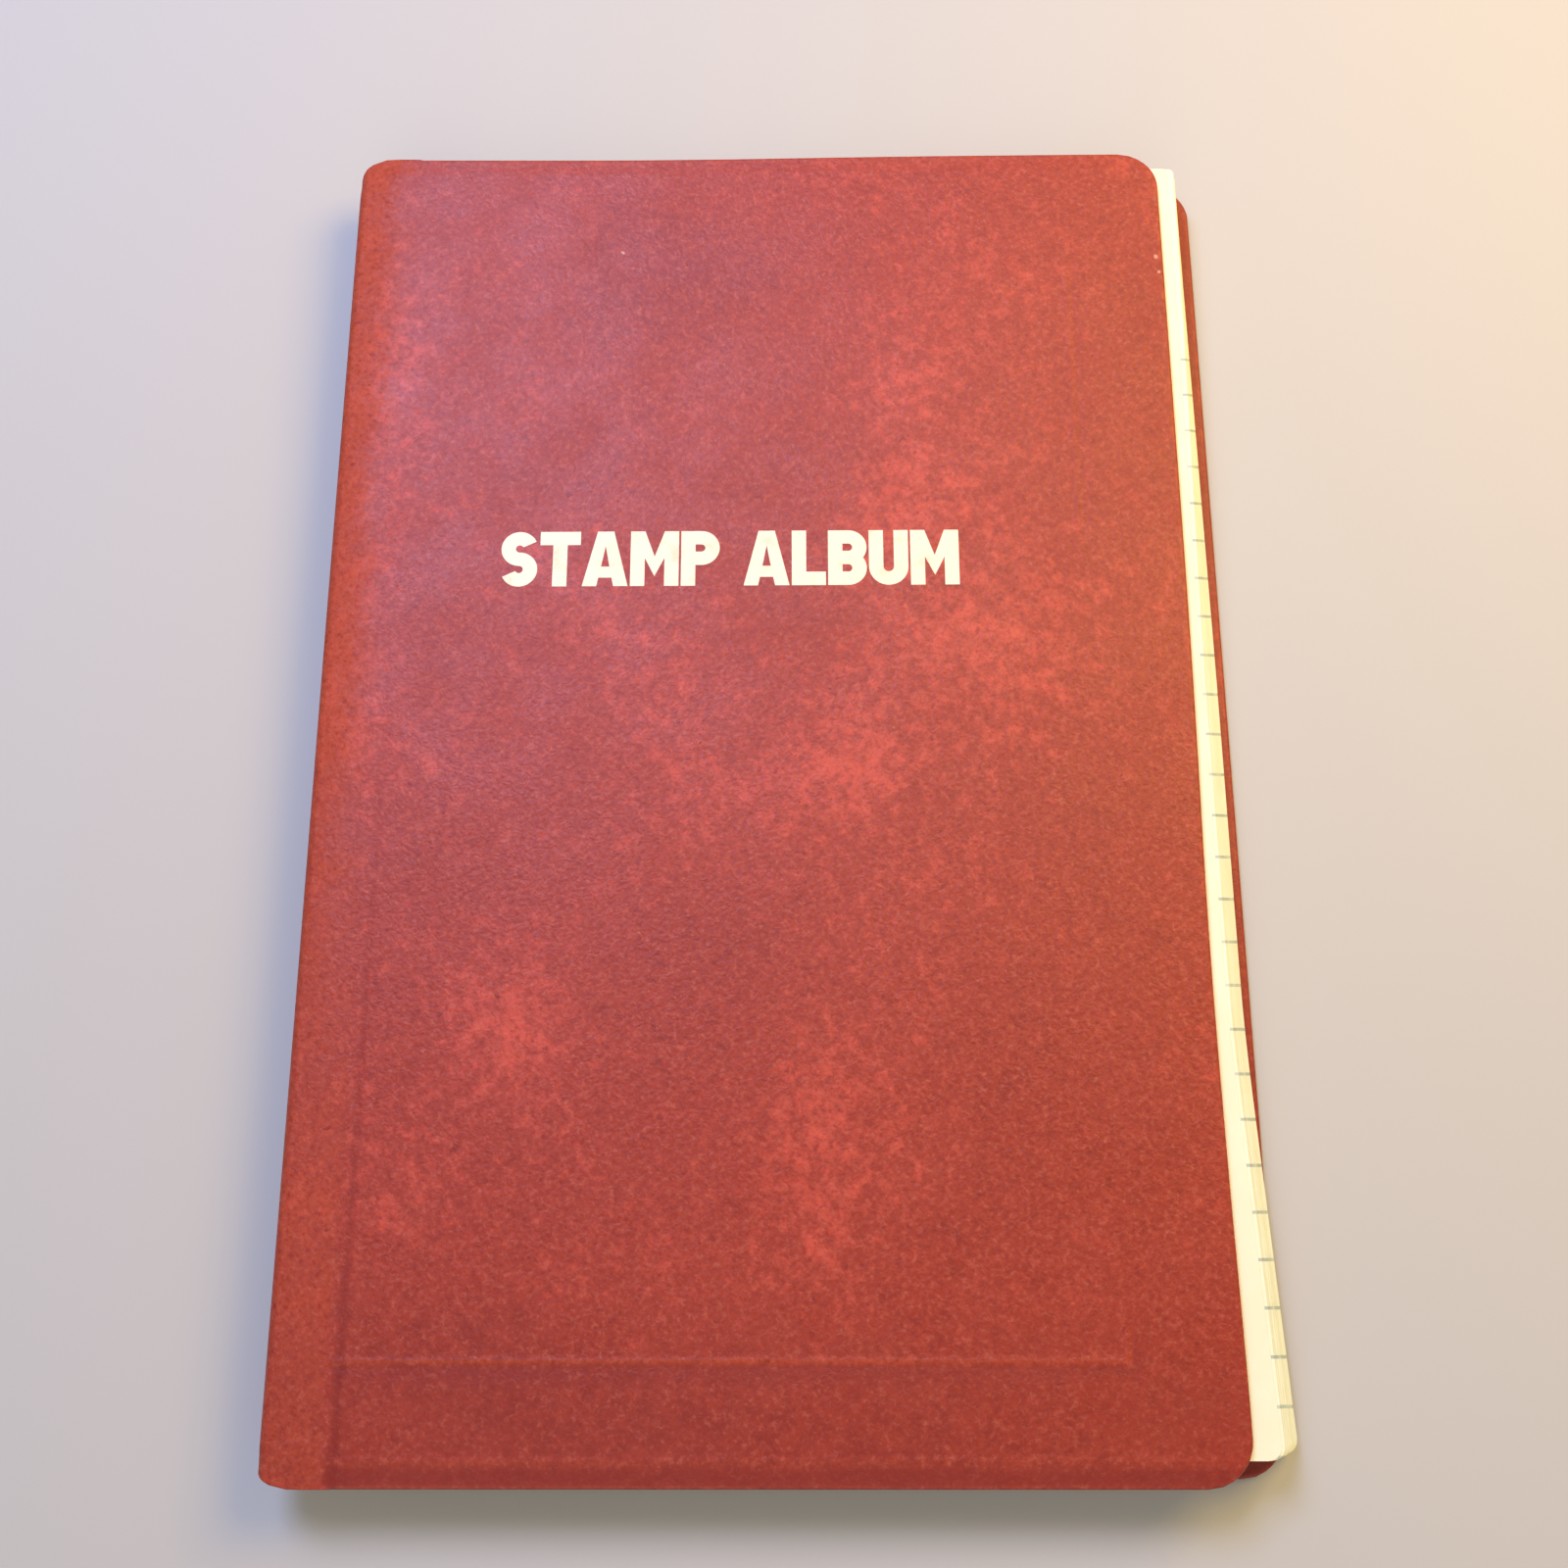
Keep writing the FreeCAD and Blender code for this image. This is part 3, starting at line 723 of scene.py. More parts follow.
@dataclass
class Case:
    """The leathercloth's path round the album and the sizes that both covers share."""

    half_height: float = 101.6
    corner: float = 6.35
    spine_radius: float = 1.8
    skin: float = 0.42
    turn_in: float = 15.9
    tail_line: float = 3.6
    straight_kept: float = 1.3
    overlap: float = 0.5
    end_width: float = 5.4
    head_pull: float = 4.6
    front_patches: tuple[Patch, ...] = (
        (10.0, -3.0, 10.0, 9.0, 1.3),
        (4.5, -57.0, 9.0, 15.0, 1.0),
        (-36.0, -42.0, 10.0, 9.0, 0.8),
        (-54.0, -62.0, 8.0, 11.0, 0.6),
        (-48.0, -84.0, 18.0, 9.0, -0.5),
        (-18.0, 4.0, 10.0, 9.0, 0.6),
        (-26.0, 17.0, 8.0, 8.0, 0.4),
        (24.0, 74.0, 16.0, 18.0, 0.35),
        (-14.0, 80.0, 20.0, 16.0, -0.9),
        (16.0, 37.0, 9.0, 9.0, 0.5),
        (38.0, 14.0, 16.0, 18.0, 0.6),
        # painted light: a tall paler patch along the spine edge, where the round-over turns away from the
        # cool sheen
        (-62.0, 40.0, 5.0, 60.0, 0.4),
        (-36.0, 44.0, 9.0, 10.0, -0.5),
        (2.0, 50.0, 10.0, 9.0, -0.6),
        (4.0, 22.0, 9.0, 7.0, -0.5),
        (-14.0, -30.0, 12.0, 10.0, -0.6),
        # painted shadow: a darker patch at the lower right, for a shadow falling across the cover
        (44.0, -36.0, 16.0, 22.0, -0.5),
        # darker towards the tail
        (0.0, -94.0, 70.0, 12.0, -0.8),
        (-40.0, -84.0, 10.0, 8.0, -0.4),
        (58.0, 60.0, 5.0, 26.0, -0.3),
    )
    back_patches: tuple[Patch, ...] = (
        (30.0, 62.0, 14.0, 16.0, 0.8),
        (-22.0, 30.0, 12.0, 10.0, 0.7),
        (12.0, -20.0, 10.0, 14.0, 0.6),
        (-34.0, -62.0, 13.0, 12.0, 0.8),
        (46.0, -58.0, 11.0, 16.0, 0.5),
        (0.0, 84.0, 16.0, 9.0, -0.6),
        (-40.0, -8.0, 12.0, 20.0, -0.6),
        (34.0, 12.0, 12.0, 12.0, -0.7),
        (4.0, -84.0, 20.0, 10.0, -0.6),
    )

    def __post_init__(self) -> None:
        """Read the spine's lean and edges from the CAD nodes."""
        front, back, spine = node_box("front_cover_skin"), node_box("back_cover_skin"), node_box("spine_skin")
        self.spine_edge = spine[0][0]
        self.lean = back[0][0] - front[0][0]
        self.top = front[1][2]
        self.arc_top = np.array([self.spine_edge + self.spine_radius, self.top - self.spine_radius])
        self.arc_bottom = np.array([self.spine_edge + self.lean + self.spine_radius, self.spine_radius])
        run = self.arc_bottom - self.arc_top
        self.run_length = float(np.linalg.norm(run))
        self.run = run / self.run_length
        self.outward = np.array([self.run[1], -self.run[0]])
        self.outward_angle = math.atan2(self.outward[1], self.outward[0]) % (2 * math.pi)


@dataclass
class Cover:
    """One cover: leathercloth slab with its round-over, card and endpaper, in one shape."""

    case: Case
    side: Side
    inner_depth: float = 1.15
    card_inset: float = 0.45
    card_near: float = 0.45
    card_far: float = 0.95
    card_gap: float = 0.2
    paper_inset: float = 4.0
    paper_depth: float = 0.12
    endpaper_reach: float = 5.6
    bend: float = 2.1
    groove: float = 0.13
    step: float = 0.08
    ridge: float = 0.10
    end_dip: float = 0.10
    spine_dip: float = 0.40
    waist: float = 0.55
    head_sag: float = 0.42

    def __post_init__(self) -> None:
        """Read the cover's edges from its CAD nodes."""
        name = self.side.name.lower()
        low, high = node_box(f"{name}_cover_skin")
        self.name = name
        self.crease, self.fore = low[0], high[0]
        self.face = high[2] if self.side is Side.FRONT else low[2]
        self.body = f"{name}_cover"
        self.leaf_body = "section_1" if self.side is Side.FRONT else "section_8"

    def depth_in(self, x: np.ndarray, y: np.ndarray, inset: float) -> np.ndarray:
        """Distance in from the outline of a plate with two round fore-edge corners.

        Args:
            x: Places across.
            y: Places along.
            inset: How far the plate's outline lies inside the cover's.

        Returns:
            The distance of each place to the nearest edge, the crease not counted.
        """
        radius = self.case.corner - inset
        across = x - (self.fore - inset - radius)
        along = np.abs(y) - (self.case.half_height - inset - radius)
        outside = np.hypot(np.maximum(across, 0.0), np.maximum(along, 0.0))
        return radius - outside - np.minimum(np.maximum(across, along), 0.0)

    def columns(self, inset: float, end: float) -> np.ndarray:
        """Places across, closer together at the edges, the ridge and the crease.

        Args:
            inset: How far the plate's outline lies inside the cover's.
            end: Where the last column lies.

        Returns:
            X of each column, from the fore-edge to end.
        """
        case = self.case
        edge = self.fore - inset - np.concatenate([[0.0], np.geomspace(0.05, case.corner, 14)])
        ridge = self.fore - case.turn_in + np.linspace(1.2, -1.2, 9)
        crease = self.crease + np.linspace(2.2, -2.2, 19)
        middle = np.arange(self.fore - inset - case.corner - 1.6, end, -2.2)
        every = np.unique(np.concatenate([edge, ridge, crease, middle, [end]]))[::-1]
        return every[(every <= self.fore - inset) & (every >= end)]

    def rows(self, x: np.ndarray, inset: float) -> np.ndarray:
        """Places along each column, following the round corners.

        Args:
            x: X of each column.
            inset: How far the plate's outline lies inside the cover's.

        Returns:
            Y of each place, columns by rows, from tail to head.
        """
        case = self.case
        radius = case.corner - inset
        over = np.clip(x - (self.fore - inset - radius), 0.0, radius)
        half = case.half_height - inset - radius + np.sqrt(radius**2 - over**2)
        margin = case.turn_in + 2.6
        near = np.concatenate([[0.0], np.geomspace(0.05, 7.0, 14), [9.0, 12.0]])
        near = np.concatenate([near, case.tail_line + np.linspace(-0.9, 0.9, 7) if inset == 0.0 else []])
        near = np.unique(np.concatenate([near, case.turn_in - inset + np.linspace(-1.2, 1.2, 9)]))
        low = -half[:, None] + near[None, :]
        share = np.linspace(0.0, 1.0, 66)[None, :]
        middle = (half[:, None] - margin) * (2.0 * share - 1.0)
        return np.concatenate([low, middle, -low[:, ::-1]], axis=1)

    def on_cover(self, x: np.ndarray) -> np.ndarray:
        """Share of each place that lies on the cover's side of the crease."""
        return smoothstep(self.crease - 1.6, self.crease + 0.4, x)

    def fore_ridge(self, y: np.ndarray) -> np.ndarray:
        """How plainly the border's ridge shows along the fore-edge: faint, near the head only."""
        return 0.35 * smoothstep(24.0, 44.0, y) * smoothstep(88.0, 74.0, y)

    def relief(self, x: np.ndarray, y: np.ndarray, edge: np.ndarray) -> np.ndarray:
        """Height of the outer face over its plain level.

        The crease is a soft groove with a step down towards the spine; the folded-in border
        ends in a ridge, plain at the tail and faint at the fore-edge; the head and tail dip
        just inside their edges. Each of them is a sum of bells and soft steps.

        Args:
            x: Places across.
            y: Places along.
            edge: Distance of each place in from the outline.

        Returns:
            The height at each place, never above the plain level on the back cover.
        """
        case = self.case
        worked = 0.12 + 0.88 * smoothstep(30.0, -60.0, y)
        groove = -self.groove * hump(self.crease + 0.5, 0.75, x) * worked
        band = -self.step * smoothstep(self.crease + 0.6, self.crease - 1.4, x) * worked
        from_tail = y + case.half_height
        at_tail = smoothstep(case.turn_in + 6.0, case.turn_in + 2.0, from_tail)
        ridge = self.ridge * hump(case.turn_in, 0.34, edge) - 0.06 * hump(case.turn_in - 0.8, 0.45, edge)
        tail_line = 0.06 * hump(case.tail_line, 0.30, from_tail)
        tail_line -= 0.04 * hump(case.tail_line - 0.7, 0.5, from_tail)
        ends = case.half_height - np.abs(y)
        turned = -self.end_dip * smoothstep(3.4, 1.2, ends)
        border = ridge * np.maximum(at_tail, self.fore_ridge(y)) + tail_line
        raised = groove + band + self.on_cover(x) * border + turned
        return raised if self.side is Side.FRONT else np.minimum(raised, 0.0)

    def blooms_and_shading(self, x: np.ndarray, y: np.ndarray) -> np.ndarray:
        """Where the colour is lighter or darker, as a sum of bell-shaped patches: uneven dyeing, with a
        painted shadow and a painted band of light on the front, and darker towards the tail.

        Args:
            x: Places across.
            y: Places along.

        Returns:
            The patch level at each place, -1 to 1.3.
        """
        patches = self.case.front_patches if self.side is Side.FRONT else self.case.back_patches
        total = np.zeros(x.shape)
        for centre_x, centre_y, wide, tall, strength in patches:
            total += strength * hump(centre_x, wide, x) * hump(centre_y, tall, y)
        return np.clip(total, -1.0, 1.3)

    def settle(self, points: np.ndarray) -> np.ndarray:
        """Draw the outline in a little at the waist, the head and the spine's corners.

        Args:
            points: Points of the plain cover, in millimetres, the last axis X, Y, Z.

        Returns:
            The same points, moved in X and Y.
        """
        x, y = points[..., 0], points[..., 1]
        out = smoothstep(self.crease, self.fore, x)
        waist = -self.waist * hump(-32.0, 34.0, y) + 0.35 * smoothstep(-60.0, -98.0, y)
        dip = -self.head_sag * hump(-22.0, 34.0, x) * smoothstep(40.0, 101.0, y)
        edge = self.case.spine_edge + self.case.lean * (self.side is Side.BACK)
        from_spine = np.maximum(np.minimum.accumulate(x, axis=0) - edge, 0.0)
        reach = np.maximum(1.0 - from_spine / self.case.end_width, 0.0)
        pull = self.case.head_pull * (1.0 - np.sqrt(1.0 - reach**2))
        moved = points.copy()
        moved[..., 1] += 0.6 * pull * smoothstep(-85.0, -101.0, y) - pull * smoothstep(80.0, 101.0, y)
        if self.side is Side.FRONT:
            moved[..., 0] += waist * out
            moved[..., 1] += dip
        return moved

    def slab(self, name: str, inset: float, end: float, near: float, far: float) -> bpy.types.Object:
        """Flat layer of the cover, between two depths below its outer face.

        Args:
            name: Name of the piece.
            inset: How far its outline lies inside the cover's.
            end: Where it stops on the spine's side.
            near: Depth of its outer face.
            far: Depth of its inner face.

        Returns:
            The piece.
        """
        x = self.columns(inset, end)
        y = self.rows(x, inset)
        across = np.broadcast_to(x[:, None], y.shape)
        outward = self.side.value
        faces = [
            self.settle(np.stack([across, y, np.full(y.shape, self.face - outward * depth)], -1))
            for depth in (near, far)
        ]
        return shell(name, faces[0], faces[1])

    def wear(self, x: np.ndarray, y: np.ndarray, edge: np.ndarray) -> np.ndarray:
        """Paling and darkening of the leathercloth: abrasion along edges, spine and ridges, painted light as
        a paler band along the spine edge, painted shade in the crease, under the border's ridge and along the
        back cover's edges, and darker towards the tail.

        Args:
            x: Places across.
            y: Places along.
            edge: Distance of each place in from the outline.

        Returns:
            1 where it is fully paled, 0 where it is sound, below 0 where it is darkened.
        """
        case = self.case
        ends = case.half_height - np.abs(y)
        from_tail = y + case.half_height
        on_cover = self.on_cover(x)
        on_spine = smoothstep(self.crease + 0.4, self.crease - 1.2, x)
        tail_share = smoothstep(20.0, 17.0, from_tail)
        ridge_share = np.maximum(tail_share, self.fore_ridge(y))
        worn_and_shaded = (
            0.14 * smoothstep(0.9, 0.2, edge)
            + 0.45 * on_spine * smoothstep(10.0, -70.0, y)
            # painted light: a paler orange band along the spine edge, with duller sheen, for the round-over
            # turned away from the cool box
            + 0.74 * smoothstep(11.5, 1.5, x - case.spine_edge) * smoothstep(-60.0, 20.0, y)
            + on_cover * 0.85 * ridge_share * hump(case.turn_in, 0.45, edge)
            # painted shade: a dark line just below the border's ridge, at the tail
            - on_cover * 0.35 * tail_share * hump(case.turn_in - 1.1, 0.5, edge)
            + on_cover * 0.55 * hump(case.tail_line, 0.45, from_tail)
            # darker in the strip between the tail line and the tail edge, and darker towards the tail
            - 0.50 * smoothstep(3.2, 1.9, from_tail) * on_cover * smoothstep(0.2, 0.9, edge)
            - 0.34 * smoothstep(34.0, 4.0, from_tail) * on_cover
            # painted shade: darker beside the crease's groove, most towards the tail
            - 0.45 * hump(self.crease + 0.9, 0.9, x) * smoothstep(40.0, -70.0, y)
            + 0.20 * smoothstep(3.6, 2.4, ends) * smoothstep(60.0, 90.0, y)
            # painted shade: the back cover darker within 5 mm of its edges, for the shadow of the leaves over
            # it
            - 0.55 * smoothstep(5.0, 3.5, edge) * (self.side is Side.BACK)
        )
        return np.clip(worn_and_shaded, -1.0, 1.0)

    def leather(self) -> bpy.types.Object:
        """Leathercloth over the cover, the crease, and round the edge of the spine.

        Across, the path is the flat face, then a quarter-and-more turn about the spine's
        arc centre, then the start of the sloping spine. At the rim each face drops as
        arc_fall gives, so that the edge is round.

        Returns:
            The piece, with its paling, darkening and patch levels.
        """
        case, outward = self.case, self.side.value
        centre = case.arc_top if self.side is Side.FRONT else case.arc_bottom
        flat = self.columns(0.0, centre[0] + 0.02)
        turn_start = outward * math.pi / 2 % (2 * math.pi)
        angles = np.linspace(turn_start, case.outward_angle, 16)
        along = case.run * outward * case.straight_kept
        arc = centre + case.spine_radius * np.stack([np.cos(angles), np.sin(angles)], 1)
        level_part = np.stack([flat, np.full(flat.shape, self.face)], 1)
        path = np.concatenate([level_part, arc, [arc[-1] + along]])
        normal = np.concatenate(
            [
                np.tile([0.0, outward], (len(flat), 1)),
                np.stack([np.cos(angles), np.sin(angles)], 1),
                [case.outward],
            ]
        )
        place = np.concatenate([flat, np.full(len(path) - len(flat), centre[0])])
        y = self.rows(place, 0.0)
        across = np.broadcast_to(place[:, None], y.shape)
        edge = self.depth_in(across, y, 0.0)
        thick = case.skin + (self.inner_depth - case.skin) * smoothstep(
            self.crease + 0.1, self.crease + 1.1, across
        )
        thick[-4:] = np.linspace(case.skin, 0.10, 4)[:, None]
        drop = arc_fall(thick / 2 * RIM_SHARE, edge)
        from_spine = np.maximum(place - case.spine_edge - case.lean * (self.side is Side.BACK), 0.0)
        slope = -self.spine_dip * np.maximum((6.0 - from_spine) / 6.0, 0.0) ** 2
        slope[len(flat) :] *= np.linspace(1.0, 0.0, len(path) - len(flat))
        level = self.relief(across, y, edge) + slope[:, None]
        follow = smoothstep(self.crease - 0.4, self.crease - 2.0, across)
        follow = np.maximum(follow, smoothstep(1.2, 0.0, edge))
        faces = [
            self.settle(
                np.stack([path[:, :1] + normal[:, :1] * height, y, path[:, 1:] + normal[:, 1:] * height], -1)
            )
            for height in (level - drop, drop - thick + level * follow)
        ]
        marks = {"wear": self.wear(across, y, edge), "bloom": self.blooms_and_shading(across, y)}
        return shell(f"{self.name}_leathercloth", faces[0], faces[1], marks)

    def make(self) -> None:
        """Build and dress the cover's layers, and hang the card on the cover's body."""
        leather = self.leather()
        LEATHERCLOTH.put_on(leather)
        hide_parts(f"{self.name}_cover_skin")
        end = self.crease + self.bend + self.card_gap
        card = self.slab(f"{self.name}_board", self.card_inset, end, self.card_near, self.card_far)
        CARD.put_on(card)
        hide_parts(f"{self.name}_cover_card")
        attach(card, self.body)
        near, far = self.inner_depth, self.inner_depth + self.paper_depth
        end = self.crease - self.endpaper_reach
        paper = self.slab(f"{self.name}_endpaper", self.paper_inset, end, near, far)
        ENDPAPER.put_on(paper)
        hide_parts(f"{self.name}_pastedown")
        for piece in (leather, paper):
            end = ((self.crease + self.bend) * MM, 0.0, self.face * MM)
            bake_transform(piece)
        LOG.info("%s cover: outer face at %.2f mm", self.name, self.face)


@dataclass
class Spine:
    """What wraps the sewn folds: leathercloth between the two round-overs, kraft paper and mull."""

    case: Case
    skin_short: float = 1.0
    liner_half: float = 97.4
    mull_half: float = 93.0
    fold_height: float = 0.55

    def band(
        self, name: str, depth: float, thick: float, half: float, start: float, end: float
    ) -> bpy.types.Object:
        """Straight sloping strip of the spine, at one depth below the leathercloth's face.

        Args:
            name: Name of the piece.
            depth: Depth of its outer face.
            thick: Its thickness.
            half: Half its length along the spine.
            start: Where it starts, as a distance down from the upper round-over.
            end: Where it ends, measured the same way.

        Returns:
            The piece.
        """
        case = self.case
        middle = case.run_length / 2
        fine = middle + np.linspace(-0.9, 0.9, 25)
        down = np.unique(np.concatenate([np.linspace(start, end, 9), fine]))
        y = np.concatenate([[-half], -half + np.geomspace(0.05, 6.0, 10)])
        y = np.concatenate([y, np.linspace(-half + 8.0, half - 8.0, 60), -y[::-1]])
        grid_down, grid_y = np.meshgrid(down, y, indexing="ij")
        from_end = half - np.abs(grid_y)
        pull = max(case.head_pull - (case.half_height - half), 0.0)
        pull = pull * (1.0 - 0.6 * grid_down / case.run_length)
        head, tail = smoothstep(60.0, half, grid_y), smoothstep(-60.0, -half, grid_y)
        grid_y = grid_y - pull * head + 0.5 * pull * tail
        drop = arc_fall(thick / 2 * RIM_SHARE, from_end)

        def face(level: np.ndarray) -> np.ndarray:
            """One face of the strip.

            Args:
                level: How far out it lies along the spine's normal.

            Returns:
                Its points.
            """
            reach = case.spine_radius + level
            x = case.arc_top[0] + case.run[0] * grid_down + case.outward[0] * reach
            z = case.arc_top[1] + case.run[1] * grid_down + case.outward[1] * reach
            return np.stack([x, grid_y, z], -1)

        marks = {"wear": 0.5 * smoothstep(1.2, 0.2, from_end) + 0.5, "bloom": np.zeros(grid_y.shape)}
        return shell(name, face(-depth - drop), face(-depth - thick + drop), marks)

    def make(self) -> None:
        """Build and dress the three layers, each with close rows at the middle of the spine."""
        case = self.case
        start = case.straight_kept - case.overlap
        end = case.run_length - start
        skin_half = case.half_height - self.skin_short
        whole, inner = (0.0, case.run_length), (start, end)
        layers = (
            ("spine_leathercloth", "spine_skin", LEATHERCLOTH, "leathercloth", 0.03, 0.36, skin_half, inner),
            ("spine_paper", "spine_liner", KRAFT, "liner", 0.43, 0.22, self.liner_half, whole),
            ("spine_cloth", "spine_mull", MULL_CLOTH, "mull", 0.68, 0.12, self.mull_half, whole),
        )
        for name, node, finish, slot, depth, thick, half, span in layers:
            piece = self.band(name, depth, thick, half, *span)
            finish.put_on(piece)
            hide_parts(node)
            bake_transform(piece)
            LOG.info("spine layer %s: %.2f mm deep", name, depth)


# ---------------------------------------------------------------- leaves
@dataclass
class Block:
    """The sewn sections and the flyleaves, leaf by leaf."""

    sections: int = 8
    folded_sheets: int = 4
    leaf: float = 0.088
    head: float = 99.4
    tail: float = 98.2
    flare: float = 2.9
    flare_start: float = 41.0
    flare_soft: float = 4.0
    corner: float = 2.0
    head_corner: float = 0.7
    stack_top: float = 8.5
    head_skew: float = 0.26
    skew_height: float = 3.6
    flyleaf_short: float = 0.8
    seed: int = 11

    def __post_init__(self) -> None:
        """Start the hand that trims the leaves unevenly."""
        self.hand = np.random.default_rng(self.seed)

    def widen(self, y: np.ndarray) -> np.ndarray:
        """Extra width towards the tail: a ramp that starts softly, as log(1 + exp) does."""
        soft = np.logaddexp(0.0, (-y - self.flare_start) / self.flare_soft) * self.flare_soft
        return self.flare * soft / (self.tail - self.flare_start)

    def plan(self, fold: float, fore: float, extra: float) -> tuple[np.ndarray, np.ndarray]:
        """Outline of a leaf as a grid of X and Y, columns from the fold to the fore-edge.

        Columns are shortened at the two corners as arc_fall gives, and widen with the flare at
        the tail and by extra at the head, less and less towards the fold.

        Args:
            fold: X where the grid starts.
            fore: X of the fore-edge above the flare.
            extra: What the head is wider by.

        Returns:
            X and Y of the grid.
        """
        width = fore - fold
        near = np.geomspace(0.12, self.corner, 7)
        inner = np.concatenate([np.linspace(8.0, width - 3.0, 8), width - np.array([1.5, 0.6, 0.0])])
        inward = np.concatenate([[0.0], near, inner])[::-1]
        trimmed = [arc_fall(radius, inward) for radius in (self.corner, self.head_corner)]
        share = np.concatenate([[0.0, 0.004, 0.012], np.linspace(0.022, 0.978, 46), [0.99, 0.996, 1.0]])
        low = -self.tail + trimmed[0]
        high = self.head - trimmed[1]
        y = low[:, None] + (high - low)[:, None] * share[None, :]
        waver = self.hand.normal(0.0, 0.07)
        waver = waver + 0.05 * np.sin(y / self.hand.uniform(14, 30) + self.hand.uniform(0, 6))
        stretch = 1.0 - inward / width
        widened = self.widen(y) + extra * smoothstep(10.0, 92.0, y) + waver
        x = fore - inward[:, None] + widened * stretch[:, None]
        return x, y

    def lift(self, x: np.ndarray, y: np.ndarray, height: float) -> np.ndarray:
        """Slack of the stack: nothing at its foot, up to a few hundredths at its top."""
        slack = 0.012 * (1.0 + np.sin(x / 23.0 + y / 41.0))
        return slack * height / self.stack_top

    def section(self, index: int) -> bpy.types.Object:
        """One section as nested folded sheets.

        Each sheet is carried along a U: out along the lower leaf, round the fold as half a
        circle, and back along the upper leaf.

        Args:
            index: Number of the section, counted from the top.

        Returns:
            The piece.
        """
        low, high = node_box(f"section_{index}")
        depth = (high[2] - low[2]) / (2 * self.folded_sheets)
        fore = high[0] - self.flare
        extra = self.head_skew * (low[2] - self.skew_height)
        sheets = []
        for nested in range(self.folded_sheets):
            fold = low[0] + depth * (nested + 0.5)
            lower, upper = low[2] + depth * (nested + 0.5), high[2] - depth * (nested + 0.5)
            half = (upper - lower) / 2
            x_low, y_low = self.plan(fold + half, fore, extra)
            x_high, y_high = self.plan(fold + half, fore, extra)
            turn = np.linspace(-math.pi / 2, math.pi / 2, 9)[1:-1]
            x_turn = np.broadcast_to(
                (fold + half - half * np.cos(turn))[:, None], (len(turn), x_low.shape[1])
            )
            y_turn = y_low[:1] + (y_high[:1] - y_low[:1]) * ((turn + math.pi / 2) / math.pi)[:, None]
            z_turn = np.broadcast_to(((lower + upper) / 2 + half * np.sin(turn))[:, None], x_turn.shape)
            x = np.concatenate([x_low[::-1], x_turn, x_high])
            y = np.concatenate([y_low[::-1], y_turn, y_high])
            z = np.concatenate([np.full(x_low.shape, lower), z_turn, np.full(x_high.shape, upper)])
            z = z + self.lift(x, y, (lower + upper) / 2)
            nx = np.concatenate([np.zeros(len(x_low)), -np.cos(turn), np.zeros(len(x_high))])
            nz = np.concatenate([-np.ones(len(x_low)), np.sin(turn), np.ones(len(x_high))])
            offset = np.stack(np.broadcast_arrays(nx[:, None], 0.0 * y, nz[:, None]), -1) * self.leaf / 2
            middle = np.stack([x, y, z], -1)
            sheets.append(shell(f"section_{index}_sheet_{nested}", middle + offset, middle - offset))
        return joined(f"section_{index}_leaves", sheets)

    def flyleaf(self, side: str) -> bpy.types.Object:
        """Single blank leaf between a cover and the sections.

        Args:
            side: "front" or "back".

        Returns:
            The piece.
        """
        low, high = node_box(f"{side}_flyleaf")
        extra = self.head_skew * (low[2] - self.skew_height) - self.flyleaf_short
        x, y = self.plan(low[0], high[0] - self.flare, extra)
        z = (low[2] + high[2]) / 2 + self.lift(x, y, (low[2] + high[2]) / 2)
        middle = np.stack([x, y, z], -1)
        offset = np.array([0.0, 0.0, (high[2] - low[2]) * 0.45])
        return shell(f"{side}_flyleaf_sheet", middle + offset, middle - offset)

    def make(self) -> None:
        """Build and dress every section, its thread and the two flyleaves."""
        for index in range(1, self.sections + 1):
            leaves = self.section(index)
            LEAF_PAPER.put_on(leaves)
            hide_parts(f"section_{index}")
            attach(leaves, f"section_{index}")
            THREAD.put_on(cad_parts[f"thread_{index}"])
            LOG.info("section %d: %d faces", index, len(leaves.data.polygons))
        for side, body in (("front", "section_1"), ("back", "section_8")):
            sheet = self.flyleaf(side)
            ENDPAPER.put_on(sheet)
            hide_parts(f"{side}_flyleaf")
            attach(sheet, body)
            LOG.info("%s flyleaf", side)


# ---------------------------------------------------------------- studio
@dataclass
class Softbox:
    """One square area light."""

    name: str
    place: Triple
    aim: Triple
    size: float
    watts: float
    colour: Triple

    def hang(self) -> None:
        """Add the light, turned to face its aim."""
        light = bpy.data.lights.new(self.name, "AREA")
        light.shape = "SQUARE"
        light.size = self.size
        light.energy = self.watts
        light.color = self.colour
        lamp = bpy.data.objects.new(self.name, light)
        lamp.location = self.place
        towards = lamp.location.copy()
        towards.xyz = [a - p for a, p in zip(self.aim, self.place)]
        lamp.rotation_euler = towards.to_track_quat("-Z", "Y").to_euler()
        bpy.context.scene.collection.objects.link(lamp)


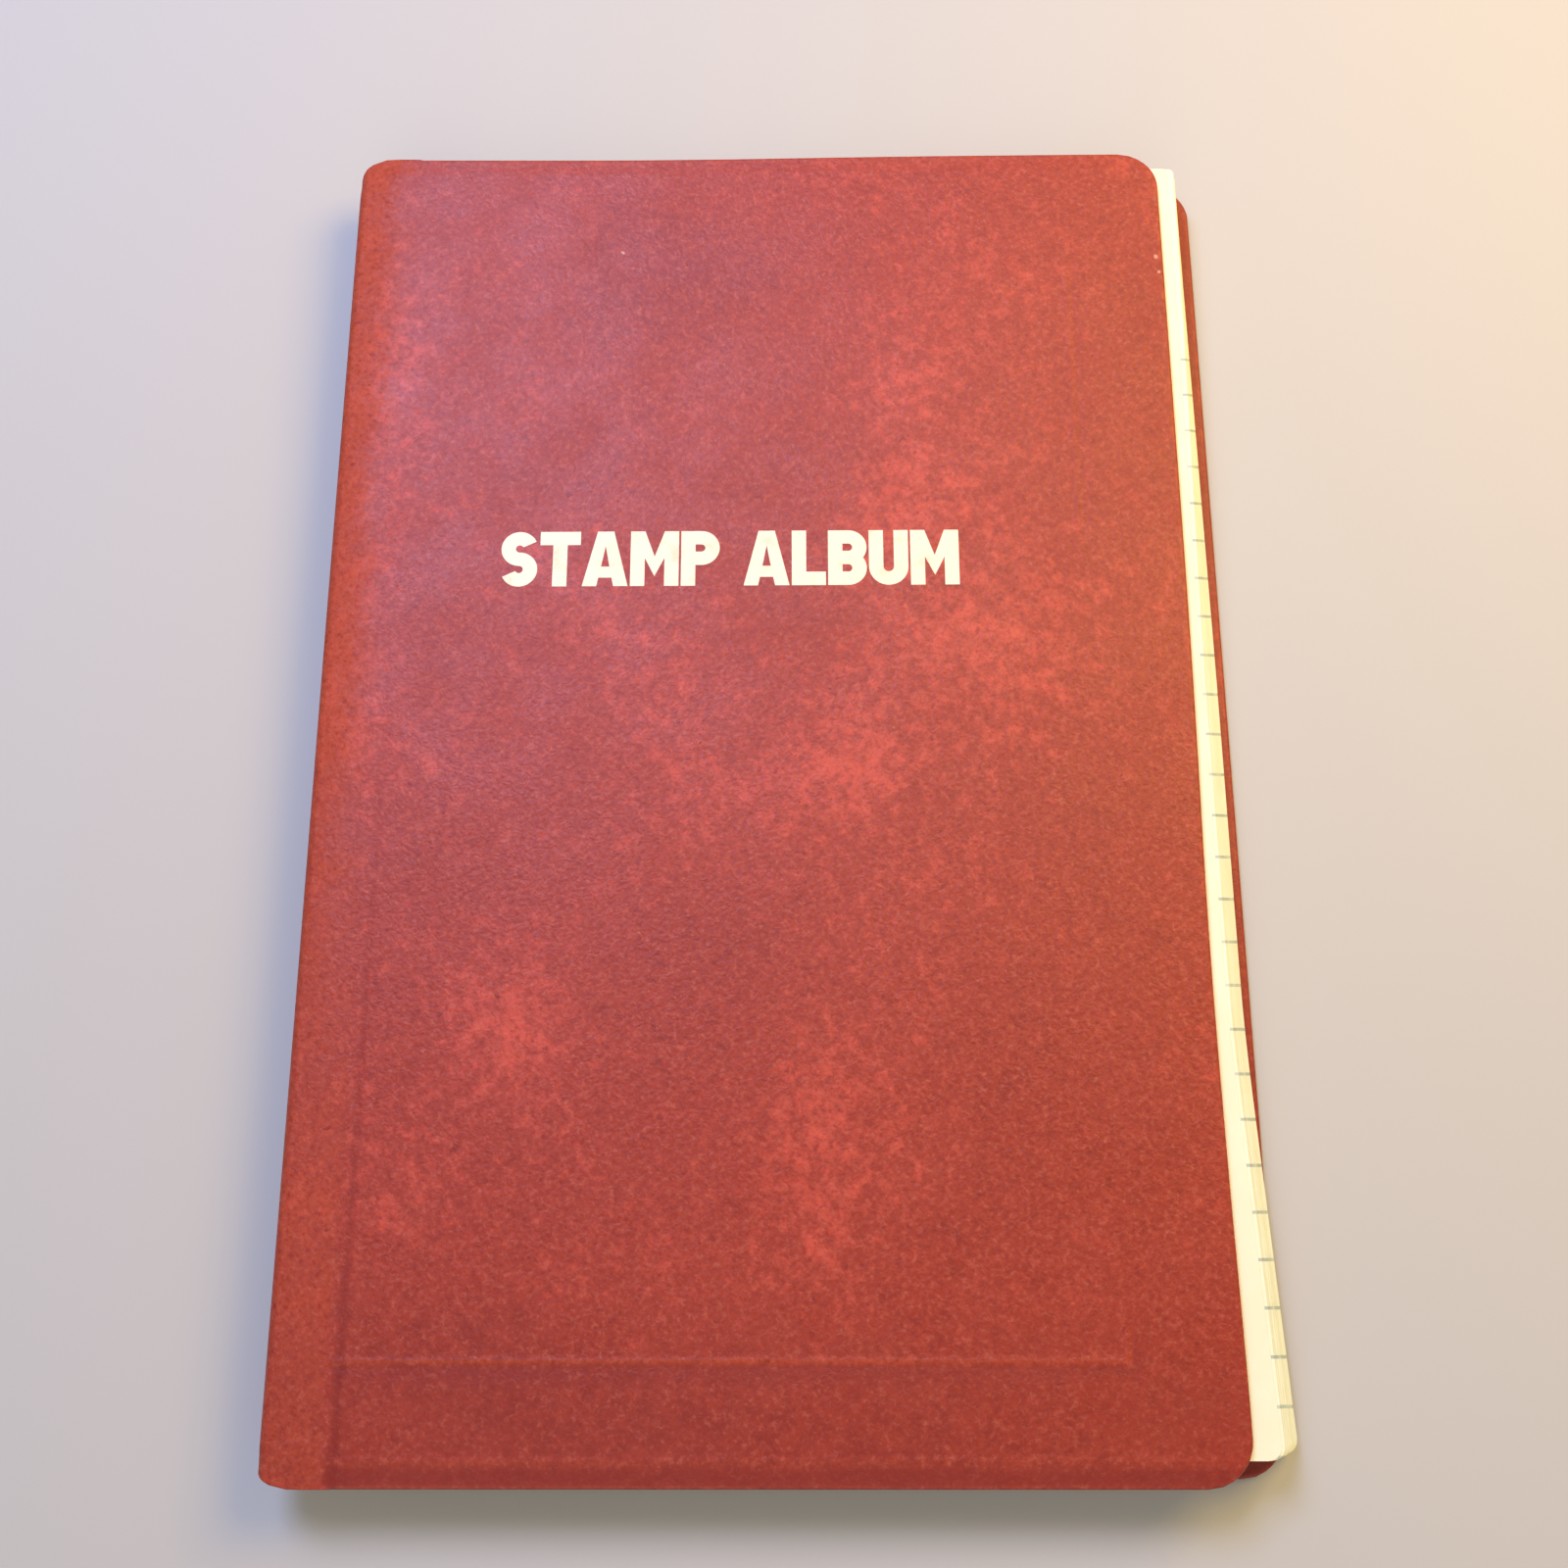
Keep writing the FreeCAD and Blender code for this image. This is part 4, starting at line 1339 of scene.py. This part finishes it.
@dataclass
class Studio:
    """Pale floor, soft light and the camera that looks down on the album."""

    floor_half: float = 2.5
    floor_drop: float = 0.12 * MM
    camera_place: Triple = (2.4 * MM, -66.9 * MM, 231.8 * MM)
    camera_turn: Triple = (15.37, 0.60, -0.07)
    lens: float = 36.0
    sensor: float = 36.0

    def floor(self) -> None:
        """Plain pale floor just under the back cover."""
        h, level = self.floor_half, -self.floor_drop
        mesh = bpy.data.meshes.new("floor")
        mesh.from_pydata([(-h, -h, level), (h, -h, level), (h, h, level), (-h, h, level)], [], [(0, 1, 2, 3)])
        floor = bpy.data.objects.new("floor", mesh)
        bpy.context.scene.collection.objects.link(floor)
        pale = bpy.data.materials.new("Pale floor")
        pale.use_nodes = True
        shader = next(node for node in pale.node_tree.nodes if node.type == "BSDF_PRINCIPLED")
        shader.inputs["Base Color"].default_value = (0.50, 0.50, 0.49, 1.0)
        shader.inputs["Roughness"].default_value = 0.9
        mesh.materials.append(pale)

    def light(self) -> None:
        """A cool box beyond the head on the left, a warm one on the right, and a dim even sky."""
        aim = (0.0, 0.0, 0.0)
        for box in (
            Softbox("cool_box", (-0.20, 0.35, 0.56), aim, 0.26, 4.3, (0.48, 0.58, 1.0)),
            Softbox("warm_box", (0.27, 0.20, 0.34), aim, 0.24, 2.0, (1.0, 0.64, 0.14)),
            Softbox("fill_box", (-0.2, -1.15, 0.85), aim, 1.0, 4.8, (1.0, 0.89, 0.74)),
        ):
            box.hang()
        world = bpy.data.worlds.new("studio")
        bpy.context.scene.world = world
        world.use_nodes = True
        sky = next(node for node in world.node_tree.nodes if node.type == "BACKGROUND")
        sky.inputs["Color"].default_value = (1.0, 0.94, 0.85, 1.0)
        sky.inputs["Strength"].default_value = 0.36

    def camera(self) -> None:
        """Camera close above the tail half, tipped towards the head."""
        data = bpy.data.cameras.new("camera")
        data.lens, data.sensor_width = self.lens, self.sensor
        data.clip_start = 0.01
        camera = bpy.data.objects.new("camera", data)
        camera.location = self.camera_place
        camera.rotation_euler = [math.radians(angle) for angle in self.camera_turn]
        bpy.context.scene.collection.objects.link(camera)
        bpy.context.scene.camera = camera

    def make(self) -> None:
        """Set up the whole studio."""
        self.floor()
        self.light()
        self.camera()
        bpy.context.scene.view_settings.view_transform = "Standard"
        LOG.info("studio: camera %.0f mm up", self.camera_place[2] / MM)


def main() -> None:
    """Build the album, then the studio."""
    logging.basicConfig(level=logging.INFO, format="%(name)s: %(message)s")
    case = Case()
    for side in Side:
        Cover(case, side).make()
    Spine(case).make()
    Block().make()
    CREAM_FOIL.put_on(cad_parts["title_foil"])
    Studio().make()


if __name__ == "__main__":
    main()
